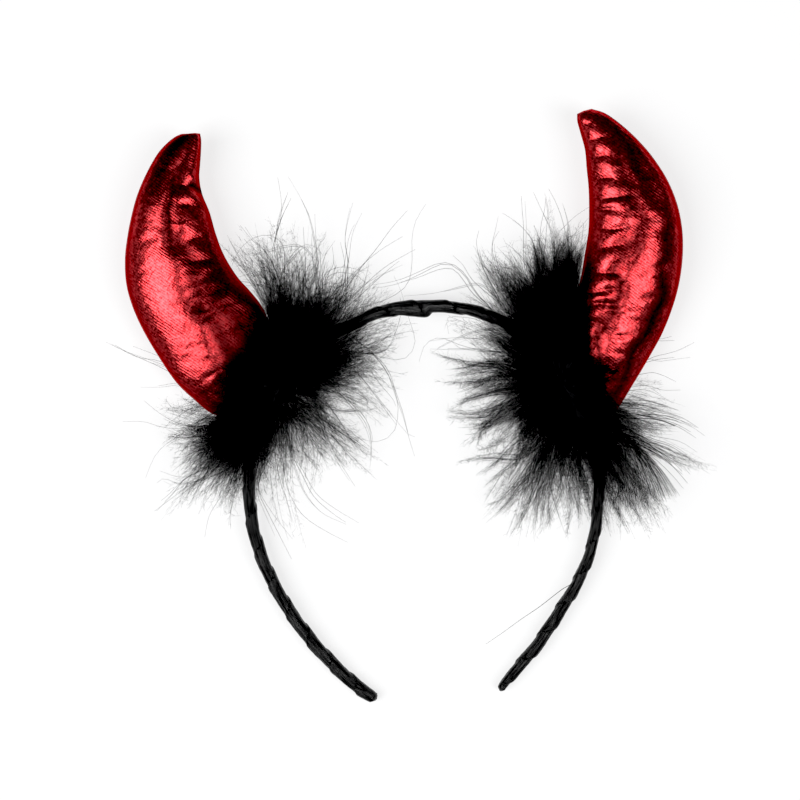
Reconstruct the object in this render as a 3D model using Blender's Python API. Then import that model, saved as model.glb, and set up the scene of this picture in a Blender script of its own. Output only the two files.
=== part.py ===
"""Devil horns headband: a ribbon-wound horseshoe band, two stuffed red foil horns and a black
marabou tuft at each horn's base. It lies on a surface as a headband laid down does: on the
bellies of its horns and the ends of its band. Metres, +Z up."""

import math

import bmesh
import bpy
import numpy as np
from mathutils import Vector

# ---------------------------------------------------------------- driving dimensions, in mm
GAP = 0.3  # between neighbouring pieces
LIE_ANGLE = 3.3  # degrees: the horns are thicker than the band, so the flat form lies nose-up
BAND_DEPTH = 5.4  # the band's width across the head, upright as it lies
RIBBON_STEP = 0.32  # how far each ribbon turn stands over the one before
RIBBON_PITCH = 12.0  # along the band from one turn to the next
BAND_SIDES = 10
BAND_STATION = 2.9  # spacing of the sections along the band
HORN_STATIONS = 44
HORN_SIDES = 22
FLUFF_AROUND = 30
FLUFF_UP = 12
FLUFF_RISE = 23.0  # the marabou's height over the flat form's middle plane
FLUFF_DROP = 16.0  # and under it, where the surface presses it flat
TUFT_LUMPS = 1.5  # how far the tufts of down stand out of the fluff's form
LEFT_SHOWS = 16  # rows of the horn's table that stand out of its fluff, counted from the tip
RIGHT_SHOWS = 15
COLLAR = 2.0  # how far the fluff laps over the foot of the horn that stands out of it

# The band's middle line as it lies, seen from above, from its left end to its right end.
# x, y: place in the flat form. across: how thick the wound band is there.
BAND_ROUTE = (
    # x, y, across
    (-8.5, -103.7, 3.2),
    (-10.2, -102.2, 4.4),
    (-14.1, -99.6, 4.6),
    (-20.1, -94.4, 4.6),
    (-28.4, -85.9, 4.6),
    (-34.9, -77.8, 4.6),
    (-40.6, -69.3, 4.5),
    (-45.5, -60.4, 4.5),
    (-49.5, -50.6, 4.5),
    (-52.0, -40.6, 4.4),
    (-53.0, -29.0, 4.4),
    (-52.6, -17.0, 4.4),
    (-49.8, -3.0, 4.4),
    (-44.2, 9.0, 4.4),
    (-35.6, 18.2, 4.4),
    (-25.2, 24.5, 4.4),
    (-16.8, 28.7, 4.4),
    (-8.4, 32.6, 4.3),
    (-2.1, 34.1, 4.9),
    (4.2, 34.4, 5.7),
    (8.4, 34.4, 6.1),
    (10.8, 35.0, 4.8),
    (16.1, 35.0, 4.4),
    (23.1, 34.1, 4.2),
    (30.8, 32.0, 4.4),
    (37.1, 29.1, 4.4),
    (43.4, 25.4, 4.3),
    (50.8, 20.0, 4.2),
    (58.1, 12.5, 4.2),
    (64.1, 3.0, 4.2),
    (68.0, -7.6, 4.1),
    (69.6, -19.0, 4.1),
    (69.5, -35.0, 4.1),
    (67.5, -48.9, 3.9),
    (63.0, -60.8, 4.0),
    (56.3, -72.1, 4.3),
    (48.6, -83.8, 4.3),
    (41.2, -92.6, 3.9),
    (37.0, -97.7, 3.1),
    (35.4, -100.5, 2.3),
)

# Sections of each horn from its tip to its base, each running from the outer seam to the inner.
# rise: the stuffed height over the seams. belly: the same under them.
LEFT_HORN = (
    # outer_x, outer_y, inner_x, inner_y, rise, belly
    (-73.9, 95.3, -69.7, 95.3, 1.6, 1.6),
    (-76.7, 95.0, -69.3, 93.0, 2.8, 2.8),
    (-80.2, 92.9, -69.4, 88.9, 4.4, 4.4),
    (-84.4, 88.5, -69.7, 84.7, 5.8, 5.8),
    (-88.4, 81.6, -70.0, 79.8, 7.0, 7.0),
    (-91.6, 74.3, -69.0, 74.2, 8.2, 8.2),
    (-93.7, 67.0, -66.5, 68.0, 9.2, 9.4),
    (-95.2, 59.6, -64.3, 60.3, 10.2, 10.6),
    (-96.1, 52.0, -61.5, 53.0, 10.9, 11.4),
    (-95.8, 43.6, -57.0, 45.6, 11.4, 11.4),
    (-93.9, 35.9, -52.4, 40.4, 11.5, 11.1),
    (-90.3, 27.5, -48.6, 35.6, 11.3, 10.5),
    (-85.1, 18.4, -46.2, 30.7, 10.9, 9.8),
    (-78.5, 8.6, -44.4, 25.8, 10.2, 8.8),
    (-72.0, 2.3, -43.2, 22.0, 9.4, 8.0),
    (-65.5, -2.8, -42.6, 18.3, 8.6, 7.2),
    (-58.7, -3.6, -43.6, 15.8, 6.6, 5.9),
    (-56.2, -2.6, -44.6, 13.8, 5.4, 5.0),
)
RIGHT_HORN = (
    # outer_x, outer_y, inner_x, inner_y, rise, belly
    (66.7, 103.9, 61.7, 102.1, 1.6, 1.6),
    (71.8, 102.2, 61.8, 99.5, 3.6, 3.6),
    (78.1, 97.6, 62.9, 95.5, 5.6, 5.6),
    (84.0, 92.0, 64.5, 89.6, 7.2, 7.2),
    (88.9, 86.1, 65.1, 83.3, 8.6, 8.6),
    (93.5, 78.8, 65.8, 76.4, 9.8, 9.8),
    (96.9, 70.4, 66.0, 69.1, 10.8, 11.0),
    (98.6, 61.7, 65.8, 61.4, 11.4, 11.8),
    (98.8, 52.7, 64.6, 53.7, 11.7, 12.0),
    (97.7, 43.6, 63.4, 46.4, 11.6, 11.5),
    (95.5, 35.2, 61.9, 39.4, 11.3, 11.1),
    (92.0, 26.1, 61.0, 33.5, 10.8, 10.4),
    (87.5, 17.7, 60.9, 28.9, 10.2, 9.6),
    (82.3, 8.9, 61.4, 25.4, 9.6, 8.8),
    (76.1, -0.9, 62.0, 22.3, 8.8, 7.6),
    (72.0, -2.9, 61.2, 19.4, 6.8, 6.2),
    (70.0, -2.0, 60.2, 17.8, 5.6, 5.2),
)

# Folds pressed into the stuffed cloth. along: 0 at the tip, 1 at the base. middle: 1 at the
# outer seam, -1 at the inner. reach: how far it runs across. breadth: along the horn. depth in mm.
LEFT_FOLDS = (
    # along, middle, reach, breadth, depth
    (0.22, -0.95, 0.60, 0.030, 1.5),
    (0.33, -0.80, 0.45, 0.028, 0.9),
    (0.47, -0.55, 0.50, 0.035, 1.1),
    (0.60, -0.75, 0.45, 0.030, 0.9),
    (0.74, -0.35, 0.60, 0.040, 1.0),
)
RIGHT_FOLDS = (
    # along, middle, reach, breadth, depth
    (0.115, -0.60, 0.60, 0.020, 0.9),
    (0.180, -0.60, 0.55, 0.022, 1.0),
    (0.255, -0.65, 0.60, 0.022, 1.1),
    (0.325, -0.65, 0.55, 0.020, 1.1),
    (0.385, -0.60, 0.55, 0.020, 1.0),
    (0.455, -0.60, 0.60, 0.024, 1.1),
    (0.530, -0.55, 0.60, 0.024, 1.2),
    (0.610, -0.60, 0.60, 0.022, 1.1),
    (0.680, -0.60, 0.55, 0.022, 1.0),
    (0.750, -0.60, 0.55, 0.024, 1.0),
)

# How far the fluff's outer form reaches from its middle, every 30 degrees from +X through +Y.
LEFT_FLUFF_MIDDLE = (-41.0, 7.5)
LEFT_FLUFF = (
    # toward, reach
    (0, 29.5),
    (30, 33.5),
    (60, 38.5),
    (90, 40.5),
    (120, 36.0),
    (150, 31.0),
    (180, 31.5),
    (210, 37.0),
    (240, 42.0),
    (270, 33.5),
    (300, 27.5),
    (330, 25.5),
)
RIGHT_FLUFF_MIDDLE = (56.0, 8.6)
RIGHT_FLUFF = (
    # toward, reach
    (0, 29.0),
    (30, 27.0),
    (60, 31.0),
    (90, 44.0),
    (120, 43.5),
    (150, 36.0),
    (180, 33.5),
    (210, 32.0),
    (240, 37.0),
    (270, 44.0),
    (300, 46.5),
    (330, 39.0),
)

MM = 0.001


def clear_scene():
    for obj in list(bpy.data.objects):
        bpy.data.objects.remove(obj)


def material(name, colour, roughness, metallic):
    made = bpy.data.materials.new(name)
    made.use_nodes = True
    shader = made.node_tree.nodes["Principled BSDF"]
    shader.inputs["Base Color"].default_value = (*colour, 1)
    shader.inputs["Roughness"].default_value = roughness
    shader.inputs["Metallic"].default_value = metallic
    return made


def smooth_rows(rows):
    """Closely spaced rows on a smooth curve through the table's rows."""
    rows = np.array(rows, float)
    padded = np.vstack([2 * rows[0] - rows[1], rows, 2 * rows[-1] - rows[-2]])
    fine = []
    for i in range(1, len(padded) - 2):
        p0, p1, p2, p3 = padded[i - 1 : i + 3]
        for t in np.linspace(0, 1, 24, endpoint=False):
            fine.append(
                0.5
                * (
                    2 * p1
                    + (p2 - p0) * t
                    + (2 * p0 - 5 * p1 + 4 * p2 - p3) * t**2
                    + (3 * p1 - p0 - 3 * p2 + p3) * t**3
                )
            )
    fine = np.array(fine + [padded[-2]])
    return fine


def resampled(fine, place, count):
    """The fine rows at even steps of the distance along `place`, their points in the plan."""
    steps = np.linalg.norm(np.diff(place, axis=0), axis=1)
    along = np.concatenate([[0], np.cumsum(steps)])
    wanted = np.linspace(0, along[-1], count)
    columns = [np.interp(wanted, along, fine[:, i]) for i in range(fine.shape[1])]
    return np.column_stack(columns), along[-1]


def lofted(name, rings, start, end, look, location):
    """A closed solid through the rings, each end drawn in to one point. Points are in mm."""
    shift = Vector(location)
    mesh = bmesh.new()
    loops = [[mesh.verts.new((Vector(p) - shift) * MM) for p in ring] for ring in rings]
    around = len(loops[0])
    for a, b in zip(loops, loops[1:]):
        for i in range(around):
            j = (i + 1) % around
            mesh.faces.new((a[i], a[j], b[j], b[i]))
    for ring, point in ((loops[0], start), (loops[-1], end)):
        middle = mesh.verts.new((Vector(point) - shift) * MM)
        for i in range(around):
            mesh.faces.new((middle, ring[i], ring[(i + 1) % around]))
    bmesh.ops.recalc_face_normals(mesh, faces=mesh.faces)
    data = bpy.data.meshes.new(name)
    mesh.to_mesh(data)
    mesh.free()
    if sum(
        Vector(data.vertices[f.vertices[0]].co).dot(f.normal) * f.area
        for f in data.polygons
    ) < 0:
        data.flip_normals()
    data.shade_smooth()
    data.set_sharp_from_angle(angle=math.radians(50))
    obj = bpy.data.objects.new(name, data)
    obj.location = shift * MM
    if look:
        data.materials.append(look)
    bpy.context.scene.collection.objects.link(obj)
    return obj


def horn(name, table, folds, look=None, grow=0.0):
    """A stuffed crescent of two panels that meet at the seams, with folds pressed into it."""
    fine = smooth_rows(table)
    middles = (fine[:, 0:2] + fine[:, 2:4]) / 2
    rows, _ = resampled(fine, middles, HORN_STATIONS)
    rings = []
    for k, (ox, oy, ix, iy, rise, belly) in enumerate(rows):
        along = k / (HORN_STATIONS - 1)
        outer, inner = Vector((ox, oy, 0)), Vector((ix, iy, 0))
        middle = (outer + inner) / 2
        half = (outer - inner) / 2
        out = half.normalized()
        ring = []
        for i in range(HORN_SIDES):
            turn = 2 * math.pi * i / HORN_SIDES
            across = math.cos(turn)
            high = math.copysign(abs(math.sin(turn)) ** 1.12, math.sin(turn))
            pressed = 0.0
            for at, at_across, reach, breadth, depth in folds:
                pressed += (
                    depth
                    * math.exp(-(((along - at) / breadth) ** 2))
                    * math.exp(-(((across - at_across) / reach) ** 2))
                )
            height = rise if high > 0 else belly
            pressed = min(pressed, 0.45 * height) * abs(high)
            z = high * (height + grow) - math.copysign(pressed, high)
            drawn_in = 0.25 * pressed * across
            ring.append(middle + half * across + out * (grow * across - drawn_in) + Vector((0, 0, z)))
        rings.append(ring)
    forward = (sum(rings[-1], Vector()) - sum(rings[-2], Vector())).normalized()
    back = (sum(rings[0], Vector()) - sum(rings[1], Vector())).normalized()
    if grow:
        rings = [*rings[:-1], [p + forward * grow for p in rings[-1]]]
    start = sum(rings[0], Vector()) / HORN_SIDES + back * (0.5 + grow)
    end = sum(rings[-1], Vector()) / HORN_SIDES + forward * 0.25
    base = (table[-1][0] + table[-1][2]) / 2, (table[-1][1] + table[-1][3]) / 2, 0
    return lofted(name, rings, start, end, look, base)


def horn_way(name, table, shows):
    """A cutter as tall as the fluff over the part of the horn that stands out of it."""
    rows = smooth_rows(table[:shows])
    middles = (rows[:, 0:2] + rows[:, 2:4]) / 2
    rows, _ = resampled(rows, middles, 24)
    back = Vector((*(middles[-2] - middles[-1]), 0)).normalized() * COLLAR
    rings = []
    for ox, oy, ix, iy, _, _ in rows[:-1]:
        outer, inner = Vector((ox, oy, 0)), Vector((ix, iy, 0))
        out = (outer - inner).normalized() * 2 * GAP
        tall = Vector((0, 0, 2 * FLUFF_RISE))
        rings.append([outer + out + tall, outer + out - tall, inner - out - tall, inner - out + tall])
    rings[-1] = [p + back * 0.5 for p in rings[-1]]
    ends = [sum(ring, Vector()) / 4 for ring in (rings[0], rings[-1])]
    return lofted(name, rings, *ends, None, (0, 0, 0))


def band(name, look=None, grow=0.0):
    """The wound band: each turn of ribbon swells over the one before, then steps down."""
    fine = smooth_rows(BAND_ROUTE)
    count = 2 + int(
        np.linalg.norm(np.diff(fine[:, :2], axis=0), axis=1).sum() / BAND_STATION
    )
    rows, length = resampled(fine, fine[:, :2], count)
    places = [Vector((x, y, 0)) for x, y, _ in rows]
    rings = []
    for k, (x, y, across) in enumerate(rows):
        ahead = places[min(k + 1, count - 1)] - places[max(k - 1, 0)]
        side = Vector((ahead.y, -ahead.x, 0)).normalized()
        along = length * k / (count - 1)
        ends = min(along, length - along)
        deep = BAND_DEPTH * (1 if ends > 6 else 0.72 + 0.28 * math.sqrt(ends / 6))
        ring = []
        for i in range(BAND_SIDES):
            turn = 2 * math.pi * (i + 0.5) / BAND_SIDES
            wound = (along / RIBBON_PITCH + i / BAND_SIDES) % 1.0
            swell = 0 if grow else RIBBON_STEP * (wound - 0.5)
            c, s = math.cos(turn), math.sin(turn)
            c, s = (math.copysign(abs(v) ** 0.85, v) for v in (c, s))
            ring.append(
                places[k]
                + side * c * (across / 2 + swell + grow)
                + Vector((0, 0, s * (deep / 2 + swell + grow)))
            )
        rings.append(ring)
    first = (places[0] - places[1]).normalized()
    last = (places[-1] - places[-2]).normalized()
    return lofted(
        name, rings, places[0] + first * 0.6, places[-1] + last * 0.6, look, places[count // 2]
    )


def fluff(name, middle, table, look):
    """The marabou's outer form: a low lobed ball of tufts about the horn's base."""
    reach_at = [reach for _, reach in table]
    rings = []
    for k in range(1, FLUFF_UP):
        up = math.pi * (k / FLUFF_UP - 0.5)
        ring = []
        for i in range(FLUFF_AROUND):
            turn = i / FLUFF_AROUND
            place = turn * len(table)
            a = int(place) % len(table)
            t = place - int(place)
            t = t * t * (3 - 2 * t)
            reach = reach_at[a] * (1 - t) + reach_at[(a + 1) % len(table)] * t
            angle = 2 * math.pi * turn
            lumps = TUFT_LUMPS * math.cos(up) * (
                math.sin(5 * angle + 3.1 * up) * math.cos(3 * up + angle)
                + 0.6 * math.sin(8 * angle - 5.0 * up)
            )
            flat = math.cos(up) ** 0.8
            tall = FLUFF_RISE if up > 0 else FLUFF_DROP
            ring.append(
                Vector(
                    (
                        middle[0] + (reach + lumps) * flat * math.cos(angle),
                        middle[1] + (reach + lumps) * flat * math.sin(angle),
                        (tall + lumps * 0.7) * math.sin(up),
                    )
                )
            )
        rings.append(ring)
    low = Vector((*middle, -FLUFF_DROP))
    high = Vector((*middle, FLUFF_RISE))
    return lofted(name, rings, low, high, look, (*middle, 0))


def world_points(obj):
    graph = bpy.context.evaluated_depsgraph_get()
    seen = obj.evaluated_get(graph)
    return [seen.matrix_world @ v.co for v in seen.data.vertices]


def press_flat(obj):
    """Takes off what would go under the surface, so that the cloth or down lies flat on it."""
    inverse = obj.matrix_world.inverted()
    mesh = bmesh.new()
    mesh.from_mesh(obj.data)
    cut = bmesh.ops.bisect_plane(
        mesh,
        geom=mesh.verts[:] + mesh.edges[:] + mesh.faces[:],
        dist=1e-7,
        plane_co=inverse @ Vector((0, 0, 0)),
        plane_no=inverse.to_3x3() @ Vector((0, 0, -1)),
        clear_outer=True,
    )
    rim = [e for e in cut["geom_cut"] if isinstance(e, bmesh.types.BMEdge)]
    bmesh.ops.contextual_create(mesh, geom=rim)
    bmesh.ops.recalc_face_normals(mesh, faces=mesh.faces)
    mesh.to_mesh(obj.data)
    mesh.free()
    obj.data.shade_smooth()
    obj.data.set_sharp_from_angle(angle=math.radians(35))


def carve(obj, name, cutter):
    cutter.hide_render = True
    cutter.display_type = "WIRE"
    made = obj.modifiers.new(name, "BOOLEAN")
    made.operation = "DIFFERENCE"
    made.solver = "EXACT"
    made.object = cutter


def build():
    clear_scene()
    foil = material("red_foil_cloth", (0.30, 0.004, 0.008), 0.30, 0.85)
    satin = material("black_satin_ribbon", (0.010, 0.010, 0.011), 0.42, 0.0)
    down = material("black_marabou", (0.008, 0.008, 0.009), 0.85, 0.0)

    lies = bpy.data.objects.new("lies_on_surface", None)
    lies.rotation_euler = (math.radians(LIE_ANGLE), 0, 0)
    bpy.context.scene.collection.objects.link(lies)

    headband = band("headband", satin)
    left_horn = horn("left_horn", LEFT_HORN, LEFT_FOLDS, foil)
    right_horn = horn("right_horn", RIGHT_HORN, RIGHT_FOLDS, foil)
    left_fluff = fluff("left_fluff", LEFT_FLUFF_MIDDLE, LEFT_FLUFF, down)
    right_fluff = fluff("right_fluff", RIGHT_FLUFF_MIDDLE, RIGHT_FLUFF, down)
    tunnel = band("band_tunnel", grow=GAP + RIBBON_STEP / 2)
    left_pocket = horn("left_pocket", LEFT_HORN, (), grow=GAP)
    right_pocket = horn("right_pocket", RIGHT_HORN, (), grow=GAP)
    pieces = (headband, left_horn, right_horn, left_fluff, right_fluff)
    left_way = horn_way("left_horn_way", LEFT_HORN, LEFT_SHOWS)
    right_way = horn_way("right_horn_way", RIGHT_HORN, RIGHT_SHOWS)
    for obj in (*pieces, tunnel, left_pocket, right_pocket, left_way, right_way):
        obj.parent = lies

    bpy.context.view_layer.update()
    lies.location.z -= min(p.z for p in world_points(headband))
    bpy.context.view_layer.update()
    for obj in (left_horn, right_horn, left_fluff, right_fluff):
        press_flat(obj)
    carve(left_fluff, "band_tunnel", tunnel)
    carve(left_fluff, "horn_pocket", left_pocket)
    carve(left_fluff, "horn_way", left_way)
    carve(right_fluff, "band_tunnel", tunnel)
    carve(right_fluff, "horn_pocket", right_pocket)
    carve(right_fluff, "horn_way", right_way)

    # The middle of the whole lies over the origin.
    bpy.context.view_layer.update()
    points = np.array([p[:2] for obj in pieces for p in world_points(obj)])
    middle = (points.min(axis=0) + points.max(axis=0)) / 2
    lies.location.x -= middle[0]
    lies.location.y -= middle[1]


build()
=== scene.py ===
"""The looks of the devil horns headband: creased red foil cloth stuffed into two horns, black satin
ribbon wound round the band, and black marabou down at each horn's base."""

import math

import bpy
import numpy as np
from mathutils import Matrix, Vector, noise


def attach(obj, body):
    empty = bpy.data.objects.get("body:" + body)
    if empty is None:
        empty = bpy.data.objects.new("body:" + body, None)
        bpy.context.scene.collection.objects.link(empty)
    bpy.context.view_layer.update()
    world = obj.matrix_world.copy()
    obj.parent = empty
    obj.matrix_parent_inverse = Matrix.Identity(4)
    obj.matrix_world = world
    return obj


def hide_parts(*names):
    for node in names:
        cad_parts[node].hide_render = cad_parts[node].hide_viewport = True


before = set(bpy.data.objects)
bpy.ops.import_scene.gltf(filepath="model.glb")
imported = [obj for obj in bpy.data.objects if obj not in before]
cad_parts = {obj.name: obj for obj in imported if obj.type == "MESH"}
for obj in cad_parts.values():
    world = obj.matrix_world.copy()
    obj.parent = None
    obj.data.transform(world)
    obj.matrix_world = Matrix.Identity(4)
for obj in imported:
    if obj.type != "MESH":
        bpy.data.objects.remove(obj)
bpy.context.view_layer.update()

MM = 0.001

# ------------------------------------------------------------------ how the headband lies
LIE_ANGLE = 3.3  # degrees that the flat form is tilted up, from the band's ends to the horns
LIES_AT = (-1.368, 0.496, 8.468)  # mm, where the flat form's own origin comes to lie
TILT = Matrix.Rotation(math.radians(LIE_ANGLE), 3, "X")
TILT_ROWS = np.array(TILT)


def lie(points):
    """Points of the flat form, in mm, where they lie in the row frame, in metres."""
    return (np.asarray(points, float) @ TILT_ROWS.T + np.array(LIES_AT)) * MM


# ------------------------------------------------------------------ camera, floor and light
CAMERA_HEIGHT = 1.0
PICTURE_ACROSS = 0.280  # metres of the object's middle plane that the picture takes in
CAMERA_OVER = (-0.00137, 0.00277)


def make_camera():
    data = bpy.data.cameras.new("camera")
    data.sensor_width = 36
    data.lens = 36 * (CAMERA_HEIGHT - 0.010) / PICTURE_ACROSS
    data.clip_start, data.clip_end = 0.05, 20
    camera = bpy.data.objects.new("camera", data)
    camera.location = (*CAMERA_OVER, CAMERA_HEIGHT)
    bpy.context.scene.collection.objects.link(camera)
    bpy.context.scene.camera = camera


def soft_box(name, toward, height, size, shine, distance=1.8):
    """A soft box in this direction (degrees), its size in metres, as bright as `shine`."""
    data = bpy.data.lights.new(name, "AREA")
    data.shape = "RECTANGLE"
    data.size, data.size_y = size
    data.energy = shine * math.pi * size[0] * size[1]
    around, up = math.radians(toward), math.radians(height)
    away = Vector((math.cos(around) * math.cos(up), math.sin(around) * math.cos(up), math.sin(up)))
    light = bpy.data.objects.new(name, data)
    light.location = Vector((0, 0.04, 0.01)) + away * distance
    light.rotation_mode = "QUATERNION"
    light.rotation_quaternion = (-away).to_track_quat("-Z", "Y")
    bpy.context.scene.collection.objects.link(light)
    return light


def make_light():
    # A soft box on each side and a dark room; the background behind the floor is pale.
    soft_box("left_box", 197, 54, (1.05, 1.35), 8.1)
    soft_box("right_box", -21, 59, (0.64, 1.10), 9.3)
    world = bpy.data.worlds.new("studio")
    world.use_nodes = True
    nodes, links = world.node_tree.nodes, world.node_tree.links
    background = nodes["Background"]
    background.inputs["Color"].default_value = (0.95, 0.98, 1.0, 1)
    seen = nodes.new("ShaderNodeMath")
    seen.operation = "MULTIPLY_ADD"
    seen.inputs[1].default_value = 0.87
    seen.inputs[2].default_value = 0.03
    links.new(nodes.new("ShaderNodeLightPath").outputs["Is Camera Ray"], seen.inputs[0])
    links.new(seen.outputs[0], background.inputs["Strength"])
    bpy.context.scene.world = world
    view = bpy.context.scene.view_settings
    view.view_transform = "Standard"
    view.look = "None"
    view.exposure = 0.0
    view.use_curve_mapping = True
    view.curve_mapping.black_level = (0.009, 0.009, 0.009)
    view.curve_mapping.update()


def make_floor():
    half = 1.6
    data = bpy.data.meshes.new("floor")
    data.from_pydata(
        [(-half, -half, 0), (half, -half, 0), (half, half, 0), (-half, half, 0)], [], [(0, 1, 2, 3)]
    )
    floor = bpy.data.objects.new("floor", data)
    floor.location.z = -0.00005
    bpy.context.scene.collection.objects.link(floor)
    made = bpy.data.materials.new("pale_floor")
    made.use_nodes = True
    shader = made.node_tree.nodes["Principled BSDF"]
    shader.inputs["Base Color"].default_value = (0.23, 0.23, 0.232, 1)
    shader.inputs["Roughness"].default_value = 0.9
    shader.inputs["Specular IOR Level"].default_value = 0.1
    shader.inputs["Emission Color"].default_value = (1.0, 1.0, 1.0, 1)
    shader.inputs["Emission Strength"].default_value = 0.71
    data.materials.append(made)


# ------------------------------------------------------------------ small node helpers
class Nodes:
    """Makes shader nodes with few words."""

    def __init__(self, name):
        self.material = bpy.data.materials.new(name)
        self.material.use_nodes = True
        self.tree = self.material.node_tree
        self.shader = self.tree.nodes["Principled BSDF"]

    def add(self, kind, **settings):
        node = self.tree.nodes.new(kind)
        for key, value in settings.items():
            setattr(node, key, value)
        return node

    def put(self, value, socket):
        if isinstance(value, bpy.types.NodeSocket):
            self.tree.links.new(value, socket)
        else:
            socket.default_value = value

    def maths(self, operation, *values):
        node = self.add("ShaderNodeMath", operation=operation)
        for value, socket in zip(values, node.inputs):
            self.put(value, socket)
        return node.outputs[0]

    def maths_colour(self, colour, factor):
        """The colour made darker by a factor."""
        node = self.add("ShaderNodeVectorMath", operation="SCALE")
        self.put(colour, node.inputs[0])
        self.put(factor, node.inputs["Scale"])
        return node.outputs[0]

    def noise(self, place, scale, detail=2.0, rough=0.5, distortion=0.0):
        node = self.add("ShaderNodeTexNoise")
        self.put(place, node.inputs["Vector"])
        node.inputs["Scale"].default_value = scale
        node.inputs["Detail"].default_value = detail
        node.inputs["Roughness"].default_value = rough
        node.inputs["Distortion"].default_value = distortion
        return node.outputs["Fac"]

    def between(self, fac, low, high, dark, light):
        """A colour from dark to light as fac goes from low to high."""
        ramp = self.add("ShaderNodeValToRGB")
        self.put(fac, ramp.inputs[0])
        first, last = ramp.color_ramp.elements
        first.position, first.color = low, (*dark, 1)
        last.position, last.color = high, (*light, 1)
        return ramp.outputs["Color"]

    def level(self, fac, low, high, start, end):
        node = self.add("ShaderNodeMapRange")
        for value, socket in zip((fac, low, high, start, end), node.inputs):
            self.put(value, socket)
        return node.outputs[0]

    def bump(self, height, depth, strength=1.0, below=None):
        node = self.add("ShaderNodeBump")
        node.inputs["Strength"].default_value = strength
        node.inputs["Distance"].default_value = depth
        self.put(height, node.inputs["Height"])
        if below is not None:
            self.put(below, node.inputs["Normal"])
        return node.outputs["Normal"]


def foil_cloth():
    """Red metal foil on a woven cloth: a fine slanting weave, small creases, a broken shine."""
    n = Nodes("red_foil_cloth")
    place = n.add("ShaderNodeTexCoord").outputs["Object"]
    apart = n.add("ShaderNodeSeparateXYZ")
    n.put(place, apart.inputs[0])
    x, y = apart.outputs["X"], apart.outputs["Y"]
    wobble = n.maths("MULTIPLY", n.noise(place, 170, 1.0), 7.0)

    def threads(angle, pitch):
        across = n.maths(
            "ADD",
            n.maths("MULTIPLY", x, math.cos(angle) * 2 * math.pi / pitch),
            n.maths("MULTIPLY", y, math.sin(angle) * 2 * math.pi / pitch),
        )
        return n.maths("SINE", n.maths("ADD", across, wobble))

    warp = threads(math.radians(56), 0.00088)
    weft = threads(math.radians(-34), 0.00074)
    patchy = n.level(n.noise(place, 120, 2.0), 0.3, 0.65, 0.25, 1.0)
    weave = n.maths("MULTIPLY", n.maths("ADD", warp, n.maths("MULTIPLY", weft, 0.3)), patchy)
    crackle = n.noise(place, 900, 3.0, 0.6, 0.3)
    creases = n.noise(place, 330, 2.5, 0.55, 0.9)
    ridges = n.maths("ABSOLUTE", n.maths("SUBTRACT", n.noise(place, 240, 2.0, 0.5, 0.6), 0.5))
    height = n.maths("ADD", creases, n.maths("MULTIPLY", ridges, 2.2))
    normal = n.bump(height, 0.00012, 1.0)
    normal = n.bump(weave, 0.000020, 1.0, normal)
    normal = n.bump(crackle, 0.000016, 0.8, normal)
    n.put(normal, n.shader.inputs["Normal"])
    # The foil is worn off the threads' gaps and thinner in patches. The point attribute read here is
    # painted shade: it darkens the foil where the cloth is pressed into creases and folds, in the
    # hollows, at the seam edges and near the base.
    painted_shade = n.add("ShaderNodeAttribute", attribute_type="GEOMETRY", attribute_name="painted_shade")
    # kept: the share of the foil's colour left after the painted shade.
    kept = n.maths("POWER", n.level(painted_shade.outputs["Fac"], 0.0, 1.0, 1.0, 0.12), 1.9)
    shine = n.maths("ADD", n.maths("MULTIPLY", weave, 0.09), crackle)
    n.put(
        n.maths_colour(n.between(shine, 0.32, 0.72, (0.27, 0.010, 0.012), (0.67, 0.072, 0.080)), kept),
        n.shader.inputs["Base Color"],
    )
    n.put(n.level(crackle, 0.3, 0.7, 0.25, 0.38), n.shader.inputs["Roughness"])
    n.shader.inputs["Metallic"].default_value = 1.0
    n.shader.inputs["Specular Tint"].default_value = (1.0, 0.25, 0.27, 1)
    return n.material


def satin_ribbon():
    """Black satin ribbon: fine threads across it, a soft shine, small creases from winding."""
    n = Nodes("black_satin_ribbon")
    wound = n.add("ShaderNodeAttribute", attribute_type="GEOMETRY", attribute_name="wound")
    apart = n.add("ShaderNodeSeparateXYZ")
    n.put(wound.outputs["Vector"], apart.inputs[0])
    place = n.add("ShaderNodeTexCoord").outputs["Object"]
    threads = n.maths("SINE", n.maths("MULTIPLY", apart.outputs["X"], 2 * math.pi / 0.00034))
    cross = n.maths("SINE", n.maths("MULTIPLY", apart.outputs["Y"], 2 * math.pi / 0.0005))
    weave = n.maths("ADD", threads, n.maths("MULTIPLY", cross, 0.4))
    creases = n.noise(place, 520, 3.0, 0.6, 0.6)
    # Pulled tight, the ribbon creases lengthwise; the creases catch the light as fine lines.
    drawn = n.add("ShaderNodeCombineXYZ")
    n.put(n.maths("MULTIPLY", apart.outputs["X"], 150.0), drawn.inputs["X"])
    n.put(n.maths("MULTIPLY", apart.outputs["Y"], 1300.0), drawn.inputs["Y"])
    streaks = n.noise(drawn.outputs[0], 1.0, 3.0, 0.6, 0.5)
    normal = n.bump(streaks, 0.00030, 0.9)
    normal = n.bump(creases, 0.00014, 0.7, normal)
    normal = n.bump(weave, 0.000022, 1.0, normal)
    n.put(normal, n.shader.inputs["Normal"])
    n.put(
        n.between(creases, 0.35, 0.7, (0.0010, 0.0010, 0.0011), (0.0032, 0.0032, 0.0034)),
        n.shader.inputs["Base Color"],
    )
    n.put(n.level(creases, 0.3, 0.7, 0.26, 0.42), n.shader.inputs["Roughness"])
    n.put(n.level(streaks, 0.40, 0.66, 0.03, 0.42), n.shader.inputs["Specular IOR Level"])
    return n.material


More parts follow.
